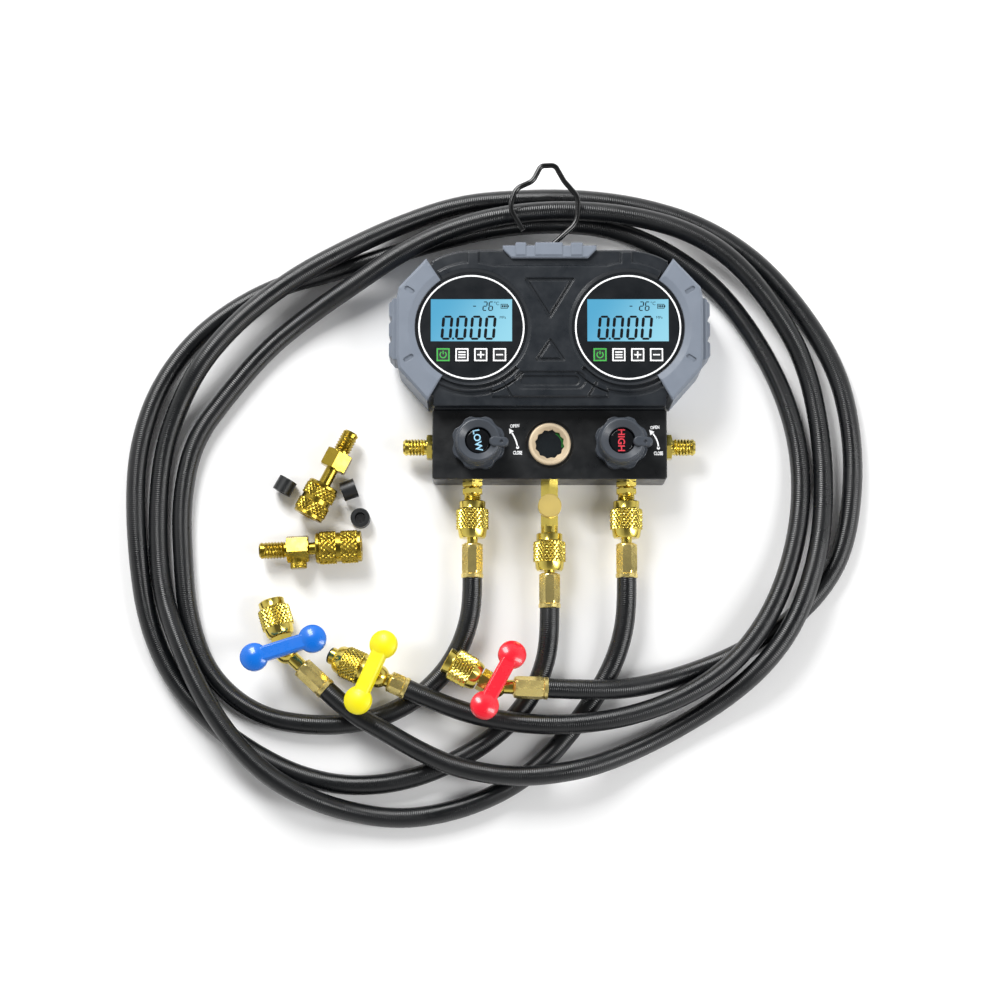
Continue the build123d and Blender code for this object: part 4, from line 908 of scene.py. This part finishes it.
def plate(name: str, outlines: Iterable[Sequence[Place]], finish: Finish, z: float, centre: Place = (0.0, 0.0),
          height: float = PRINT_HEIGHT) -> Piece:
    """Thin raised print from convex outlines.

    Args:
        name: The piece's name.
        outlines: Outlines about the centre, anticlockwise, in millimetres.
        finish: Its ink.
        z: Height of the surface that it lies on.
        centre: Where the outlines' origin lies.
        height: The print's thickness.

    Returns:
        The print as one mesh.
    """
    verts, faces = [], []
    for outline in outlines:
        start, n = len(verts), len(outline)
        for level in (z, z + height):
            verts += [((centre[0] + x) * MM, (centre[1] + y) * MM, level * MM) for x, y in outline]
        faces += [tuple(range(start + n - 1, start - 1, -1)), tuple(range(start + n, start + 2 * n))]
        faces += [(start + i, start + (i + 1) % n, start + (i + 1) % n + n, start + i + n) for i in range(n)]
    return new_object(name, verts, faces, finish)


# ---- gauge faces ------------------------------------------------------------------------
SEGMENTS = {"0": "abcdef", "2": "abged", "6": "afgcde", "-": "g"}
BAR_PLACES = {"a": (0.5, 1.0, 0), "b": (1.0, 0.75, 90), "c": (1.0, 0.25, 90), "d": (0.5, 0.0, 0),
              "e": (0.0, 0.25, 90), "f": (0.0, 0.75, 90), "g": (0.5, 0.5, 0)}
BAR_OUTLINE = [(-0.5, 0.0), (-0.37, -0.14), (0.37, -0.14), (0.5, 0.0), (0.37, 0.14), (-0.37, 0.14)]


@dataclass
class GaugeFace:
    """Printed ring, display segments and key symbols of one gauge. Sizes in millimetres."""

    side: str
    x: float
    face_z: float = 42.2
    key_z: float = 42.7
    ring_radii: Place = (32.9, 33.9)
    ring_sides: int = 128
    key_pitch: float = 12.0
    key_drop: float = 17.9
    key_half: float = 4.15
    line_half: float = 0.42
    lean: float = 0.09
    upright_turn: float = 85.0
    bar_fill: float = 0.94
    ink_z: float = DISPLAY_Z + 0.01

    def ring(self) -> Piece:
        """White ring round the face."""
        inner, outer = self.ring_radii
        top = self.face_z + PRINT_HEIGHT
        verts = [Vector((x, y, z)) * MM
                 for radius, z in ((inner, self.face_z), (outer, self.face_z), (outer, top), (inner, top))
                 for x, y in disc(radius, self.ring_sides, (self.x, GAUGE_Y))]
        return new_object(f"{self.side}_face_ring", verts, ring_faces(4, self.ring_sides, True), PRINT_WHITE, 35.0)

    def digits(self) -> list[Piece]:
        """Display figures: seven-segment bars, lying and upright, copied onto points by the copies tree."""
        across, upright = [], []
        for text, left, base, width, height, pitch in (("0000", -18.9, -7.4, 5.25, 14.3, 9.2),
                                                       ("-", 0.6, 11.0, 2.3, 5.5, 3.7),
                                                       ("26", 7.3, 11.0, 2.3, 5.5, 3.7)):
            for i, sign in enumerate(text):
                for letter in SEGMENTS[sign]:
                    fx, fy, turn = BAR_PLACES[letter]
                    x = left + i * pitch + fx * width + fy * height * self.lean
                    if turn:
                        upright.append((x, base + fy * height, self.upright_turn, height / 2))
                    else:
                        across.append((x, base + fy * height, 0.0, width))
        return [self.bars(f"{self.side}_segments_{label}", chosen)
                for label, chosen in (("across", across), ("upright", upright))]

    def bars(self, name: str, places: list[tuple[float, float, float, float]]) -> Piece:
        """Copy one hexagonal segment bar onto each place.

        Args:
            name: The piece's name.
            places: x and y from the gauge centre, turn in degrees and length.

        Returns:
            The bars as one plain mesh.
        """
        shape = plate(f"{name}_shape", [BAR_OUTLINE], SEGMENT_INK, 0.0, height=PRINT_HEIGHT / 5)
        spots = [((self.x + x) * MM, (GAUGE_Y + y) * MM, self.ink_z * MM) for x, y, _, _ in places]
        target = new_object(name, spots, [], SEGMENT_INK)
        turns, sizes = [radians(turn) for *_, turn, _ in places], [length * self.bar_fill for *_, length in places]
        run_tree(target, TREES["copies"], {"turn": turns, "size": sizes},
                 {"Shape": shape, "Material": SEGMENT_INK.build()})
        bpy.data.objects.remove(shape)
        return target

    def key_print(self, index: int, label: str) -> Piece:
        """Frame and symbol of one key."""
        half, line = self.key_half, self.line_half
        rim = half - 2 * line
        shapes = [box(-half, half, rim, half), box(-half, half, -half, -rim), box(-half, -rim, -rim, rim),
                  box(rim, half, -rim, rim)]
        dash = box(-2.2, 2.2, -line, line)
        shapes += {"menu": [box(-2.3, 2.3, y - line, y + line) for y in (-1.7, 0.0, 1.7)],
                   "plus": [dash, box(-line, line, line, 2.2), box(-line, line, -2.2, -line)],
                   "minus": [dash],
                   "power": [*arc_strips(2.0, 0.7, 125, 415, 20), box(-0.35, 0.35, 0.3, 2.6)]}[label]
        return plate(f"{self.side}_key_{label}_print", shapes, PRINT_GREEN if label == "power" else PRINT_WHITE,
                     self.key_z, (self.x + (index - 1.5) * self.key_pitch, GAUGE_Y - self.key_drop))

    def signs(self) -> list[Piece]:
        """Battery sign and decimal point of the display."""
        battery = [box(0, 4.6, 0, 0.4), box(0, 4.6, 2.6, 3.0), box(0, 0.4, 0.4, 2.6), box(4.2, 4.6, 0.4, 2.6),
                   box(4.6, 5.2, 0.9, 2.1), *(box(x, x + 0.8, 0.8, 2.2) for x in (0.8, 1.9, 3.0))]
        return [plate(f"{self.side}_battery_sign", battery, SEGMENT_INK, self.ink_z, (self.x + 18.7, GAUGE_Y + 12.2)),
                plate(f"{self.side}_decimal_point", [disc(0.7, 12, (-11.7, -7.3))], SEGMENT_INK, self.ink_z,
                      (self.x, GAUGE_Y))]

    def build(self) -> None:
        """Build everything printed on this gauge."""
        for piece in (self.ring(), *self.digits(), *self.signs()):
            install(piece, "gauge")
        for index, label in enumerate(("power", "menu", "plus", "minus")):
            install(self.key_print(index, label), f"{self.side}_{label}_button")
        LOG.info("%s gauge face printed", self.side)


# ---- lettering --------------------------------------------------------------------------
@dataclass
class Lettering:
    """Generic function words and turning arrows, as thin raised print. Sizes in millimetres."""

    capital_ratio: float = 0.7
    dot_r: float = 1.0
    head_half: float = 1.7
    head_length: float = 3.2
    stroke_half: float = 0.45
    stroke_steps: int = 12
    block_top: float = 30.0
    insert_top: float = 46.45
    gauge_x: float = 50.0

    def word(self, name: str, text: str, height: float, place: Point, turn: float, finish: Finish, body: str,
             bold: float = 0.0, narrow: float = 1.0) -> None:
        """Print one word, centred on its place.

        Args:
            name: The piece's name.
            text: The word.
            height: Capital height.
            place: Centre of the word.
            turn: Turn about Z in degrees.
            finish: Its ink.
            body: The body it rides on.
            bold: Outline growth.
            narrow: Width scale of the letters.
        """
        curve = bpy.data.curves.new(name, "FONT")
        curve.body, curve.align_x, curve.align_y, curve.resolution_u = text, "CENTER", "CENTER", 6
        curve.size, curve.offset, curve.extrude = height * MM / self.capital_ratio, bold * MM, PRINT_HEIGHT * MM / 2
        holder = link(f"{name}_text", curve)
        mesh = bpy.data.meshes.new_from_object(holder.evaluated_get(bpy.context.evaluated_depsgraph_get()))
        bpy.data.objects.remove(holder)
        x, y, z = place
        mesh.transform(Matrix.Translation((x * MM, y * MM, (z + PRINT_HEIGHT / 2) * MM))
                       @ Matrix.Rotation(radians(turn), 4, "Z") @ Matrix.Diagonal((narrow, 1.0, 1.0, 1.0)))
        mesh.materials.clear()
        mesh.materials.append(finish.build())
        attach(link(name, mesh), body)

    def arrow(self, name: str, centre: Place, start: Vector, middle: Vector, tip: Vector) -> None:
        """Print a curved arrow beside a knob: a dot, a bent stroke through three points, and a head.

        Args:
            name: The piece's name.
            centre: The knob's centre.
            start: The dot, from the knob's centre.
            middle: A point on the stroke.
            tip: The head's point.
        """
        bend = middle * 2 - (start + tip) / 2

        def along(t: float) -> Vector:
            """Point on the stroke's quadratic curve."""
            return start * (1 - t) ** 2 + bend * (2 * t * (1 - t)) + tip * t ** 2

        edges = []
        for i in range(self.stroke_steps + 1):
            t = 0.78 * i / self.stroke_steps
            forward = (along(t + 0.01) - along(t - 0.01)).normalized()
            across = Vector((-forward.y, forward.x)) * self.stroke_half
            edges.append((along(t) - across, along(t) + across))
        shapes = [[a[0], b[0], b[1], a[1]] for a, b in zip(edges, edges[1:])]
        shapes.append([Vector(p) for p in disc(self.dot_r, 16, start)])
        forward = (tip - along(0.72)).normalized()
        across, foot = Vector((-forward.y, forward.x)) * self.head_half, tip - forward * self.head_length
        shapes.append([foot - across, tip, foot + across])
        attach(plate(name, shapes, PRINT_WHITE, self.block_top, centre), "gauge")

    def build(self) -> None:
        """Print the words and arrows of both valves."""
        valves = (("low", -45.5, "LOW", PRINT_BLUE, -80.0, (25.0, -2.0), (23.2, 4.0), (19.5, 10.3)),
                  ("high", 45.5, "HIGH", PRINT_RED, -90.0, (24.0, -2.4), (22.7, 3.5), (18.2, 9.3)))
        top = self.block_top
        for side, x, word, ink, turn, start, middle, tip in valves:
            self.word(f"{side}_word", word, 4.2, (x - 0.6, 0.2, self.insert_top), turn, ink, f"{side}_knob_turning",
                      0.12)
            self.arrow(f"{side}_arrow", (x, 0.0), Vector(start), Vector(middle), Vector(tip))
            self.word(f"{side}_open_word", "OPEN", 2.0, (x + tip[0] + 3.7, tip[1] + 1.5, top), 4.0, PRINT_WHITE,
                      "gauge", 0.1, 0.8)
            self.word(f"{side}_close_word", "CLOSE", 2.2, (x + start[0], start[1] - 3.6, top), 0.0, PRINT_WHITE,
                      "gauge", 0.1, 0.62)
        for side, centre in (("low", -self.gauge_x), ("high", self.gauge_x)):
            for label, text, height, x, y in (("degree", "°C", 2.2, 16.1, 15.4), ("unit", "MPa", 1.7, 20.0, 6.4)):
                self.word(f"{side}_{label}_sign", text, height, (centre + x, GAUGE_Y + y, DISPLAY_Z + 0.01), 0.0,
                          SEGMENT_INK, "gauge")
        LOG.info("valve words and arrows printed")


# ---- studio -----------------------------------------------------------------------------
@dataclass
class Studio:
    """Pale floor, soft light and the camera. Lengths in metres."""

    look_at: Point = (-0.031751, -0.032236, 0.0)
    distance: float = 1.6
    elevation: float = 83.0
    view_width: float = 0.65
    side_light: float = 0.8
    zenith_light: float = 0.12
    fade: Place = (0.35, 0.95)
    floor_half: float = 4.0

    def camera(self) -> None:
        """Camera over the table, square to the block."""
        tilt = radians(self.elevation)
        data = bpy.data.cameras.new("camera")
        data.sensor_fit = "HORIZONTAL"
        data.angle = 2 * math.atan(self.view_width / 2 / self.distance)
        made = link("camera", data)
        x, y, z = self.look_at
        made.location = (x, y - self.distance * cos(tilt), z + self.distance * sin(tilt))
        made.rotation_euler = (pi / 2 - tilt, 0.0, 0.0)
        bpy.context.scene.camera = made

    def lamp(self, name: str, place: Point, size: Place, power: float) -> None:
        """One rectangular softbox that faces the set.

        Args:
            name: The lamp's name.
            place: Its position.
            size: Width and height.
            power: Watts.
        """
        data = bpy.data.lights.new(name, "AREA")
        data.shape, data.size, data.size_y, data.energy = "RECTANGLE", *size, power
        made = link(name, data)
        made.location = place
        made.rotation_euler = (Vector(self.look_at) - Vector(place)).to_track_quat("-Z", "Y").to_euler()

    def build(self) -> None:
        """Set the floor, the light and the camera."""
        far = self.floor_half
        floor = new_object("floor", [(x, y, 0) for x, y in box(-far, far, -far, far)], [(0, 1, 2, 3)], FLOOR_WHITE)
        world = bpy.data.worlds.new("studio")
        bpy.context.scene.world = world
        world.use_nodes = True
        tree = world.node_tree
        sky = add(tree, "ShaderNodeSeparateXYZ", {"Vector": add(tree, "ShaderNodeTexCoord").outputs["Generated"]})
        fade = add(tree, "ShaderNodeMapRange", {"Value": sky.outputs["Z"], "From Min": self.fade[0],
                                                "From Max": self.fade[1], "To Min": self.side_light,
                                                "To Max": self.zenith_light}, interpolation_type="SMOOTHSTEP")
        tree.links.new(fade.outputs["Result"], tree.nodes["Background"].inputs["Strength"])
        tree.nodes["Background"].inputs["Color"].default_value = (1.0, 1.0, 1.0, 1.0)
        self.lamp("key_softbox", (-0.55, 0.95, 0.95), (0.5, 0.9), 22.0)
        self.lamp("fill_softbox", (0.95, -0.35, 0.85), (0.35, 0.9), 10.0)
        self.camera()
        bpy.context.scene.view_settings.view_transform = "Standard"


# ---- assembly ---------------------------------------------------------------------------
@dataclass
class GaugeSet:
    """The whole set: finishes on the frame's nodes and the pieces built over them."""

    fittings: Fittings = field(default_factory=Fittings)
    manifold_ferrule: float = 22.4
    insert_roll: float = 1.8

    def finishes(self) -> None:
        """Dress every node that shows as it is."""
        plan: dict[Finish, list[str]] = {
            ABS_GREY: ["front_shell"], ABS_BACK: ["rear_shell", "battery_cover"],
            TPE_GREY: ["left_bumper", "right_bumper", "top_bumper"], ACRYLIC_BLACK: ["gauge_faces"],
            LAMINATE_GREEN: ["circuit_boards"], CELL_JACKET: ["batteries"], STEEL_DARK: ["screws"],
            WIRE_BLACK: ["hook"], ANODISED_BLACK: ["manifold_block"],
            BRASS: ["valve_bonnets", "low_stem", "high_stem", "centre_tee", "pressure_sensors",
                    *(f"{hose}_valve_{part}" for hose in ("low", "centre", "high") for part in ("body", "ball"))],
            NICKEL_FACE: ["tee_cap"], NYLON_KNOB: ["low_knob", "high_knob"], ANODISED_ROSE: ["sight_glass_ring"],
            GLASS_DARK: ["sight_glass"], COAT_BLUE: ["low_handle"], COAT_YELLOW: ["centre_handle"],
            COAT_RED: ["high_handle"], SEAL_RUBBER: ["seals", "tip_seal"],
            SILICONE_KEY: [f"{g}_key_{k}" for g in ("low", "high") for k in ("power", "menu", "plus", "minus")],
        }
        for finish, nodes in plan.items():
            for node in nodes:
                dress(node, finish)
        displays = FRAME["nodes"]["displays"].data.materials
        displays.clear()
        displays.append(Backlight().build())
        LOG.info("finishes on the frame's nodes")

    def ports(self) -> None:
        """Build the manifold-side brass."""
        parts = self.fittings
        stubs = [parts.parking_port("parking_port_left", -1), parts.parking_port("parking_port_right", 1)]
        ports = [parts.hose_port("hose_port_left", parts.port(-1), 24.4),
                 parts.hose_port("hose_port_right", parts.port(1), 24.4)]
        stems, ferrules = [], []
        for side, label, start, hose_at in ((-1, "low", 12.4, 62.0), (0, "centre", 33.4, 81.3),
                                            (1, "high", 12.4, 62.0)):
            port, length = parts.port(side), self.manifold_ferrule
            nut = parts.nut(f"{label}_manifold_nut_brass", port @ Matrix.Translation((0, 0, start * MM)))
            install(nut, f"{label}_manifold_nut_turning", f"{label}_manifold_nut")
            stems.append(parts.stem(f"{label}_hose_stem_brass", port, start + parts.nut_thread, hose_at))
            ferrules.append(parts.ferrule(f"{label}_manifold_ferrule", port, hose_at - length, length))
        for group, node in ((stubs, "parking_ports"), (ports, "hose_ports"), (stems, "hose_stems"),
                            (ferrules, "hose_ferrules")):
            for index, piece in enumerate(group):
                install(piece, "gauge", "" if index else node)
        LOG.info("manifold-side brass built")

    def gloss_inserts(self) -> None:
        """Glossy discs in the knobs, with a rolled edge that catches the light."""
        for side in ("low", "high"):
            node = f"{side}_knob_insert"
            low, high = (Vector(corner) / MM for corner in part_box(node))
            centre, radius, roll = (low + high) / 2, (high.x - low.x) / 2, self.insert_roll
            matrix = Matrix.Translation((centre.x * MM, centre.y * MM, 0))
            part = Turned(f"{side}_insert_gloss", matrix, GLOSS_INSERT, sides=96)
            part.profile((low.z, 0.05), (low.z, radius))
            for step in range(7):
                turn = pi / 2 * step / 6
                part.ring(high.z - roll + roll * sin(turn), radius - roll + roll * cos(turn))
            install(part.ring(high.z, 0.05).build(), f"{side}_knob_turning", node)

    def glass_indicator(self) -> None:
        """Green moisture band that shows through the sight glass."""
        low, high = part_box("sight_glass")
        centre = tuple((a + b) / 2 / MM for a, b in zip(low[:2], high[:2]))
        strips = arc_strips(8.3, 1.5, -14.0, 62.0, 16)
        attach(plate("moisture_band", strips, PRINT_DARK_GREEN, high[2] / MM, centre), "gauge")

    def build(self) -> None:
        """Build the set piece by piece."""
        self.finishes()
        self.ports()
        ends = [ServiceEnd("low", LOW_ROUTE, -72.5, 8.0, 0.0, 35.8, 22.4),
                ServiceEnd("high", HIGH_ROUTE, -28.9, -2.3, -18.0, 34.0, 22.4),
                ServiceEnd("centre", CENTRE_ROUTE, -24.3, 17.0, 0.0, 20.4, 12.8, nut_offset=5.4, flip=True)]
        for end in ends:
            end.build(self.fittings)
            LOG.info("%s service end built", end.side)
        for coupler in (CouplerBrass("a", (-127.8, 10.6, 11.0), -117.2, 15.0, 16.4, 12.0, 38.4, 23.2, 0.0, False),
                        CouplerBrass("b", (-186.7, -66.7, 11.0), 2.8, 17.8, 16.0, 14.2, 36.4, 29.6, 14.0, True)):
            coupler.build()
            LOG.info("coupler %s built", coupler.tag)
        for hose in (Hose("low", LOW_ROUTE, 1.407), Hose("centre", CENTRE_ROUTE, 1.423),
                     Hose("high", HIGH_ROUTE, 1.458)):
            hose.build()
        for face in (GaugeFace("low", -50.0), GaugeFace("high", 50.0)):
            face.build()
        Lettering().build()
        self.glass_indicator()
        self.gloss_inserts()


FRAME: dict = {}
TREES: dict[str, Tree] = {}


def main() -> None:
    """Load the frame, then build the set and the studio."""
    logging.basicConfig(level=logging.INFO, format="%(message)s")
    FRAME.update(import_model())
    TREES.update(relief=relief_tree(), copies=copies_tree())
    GaugeSet().build()
    Studio().build()


if __name__ == "__main__":
    main()
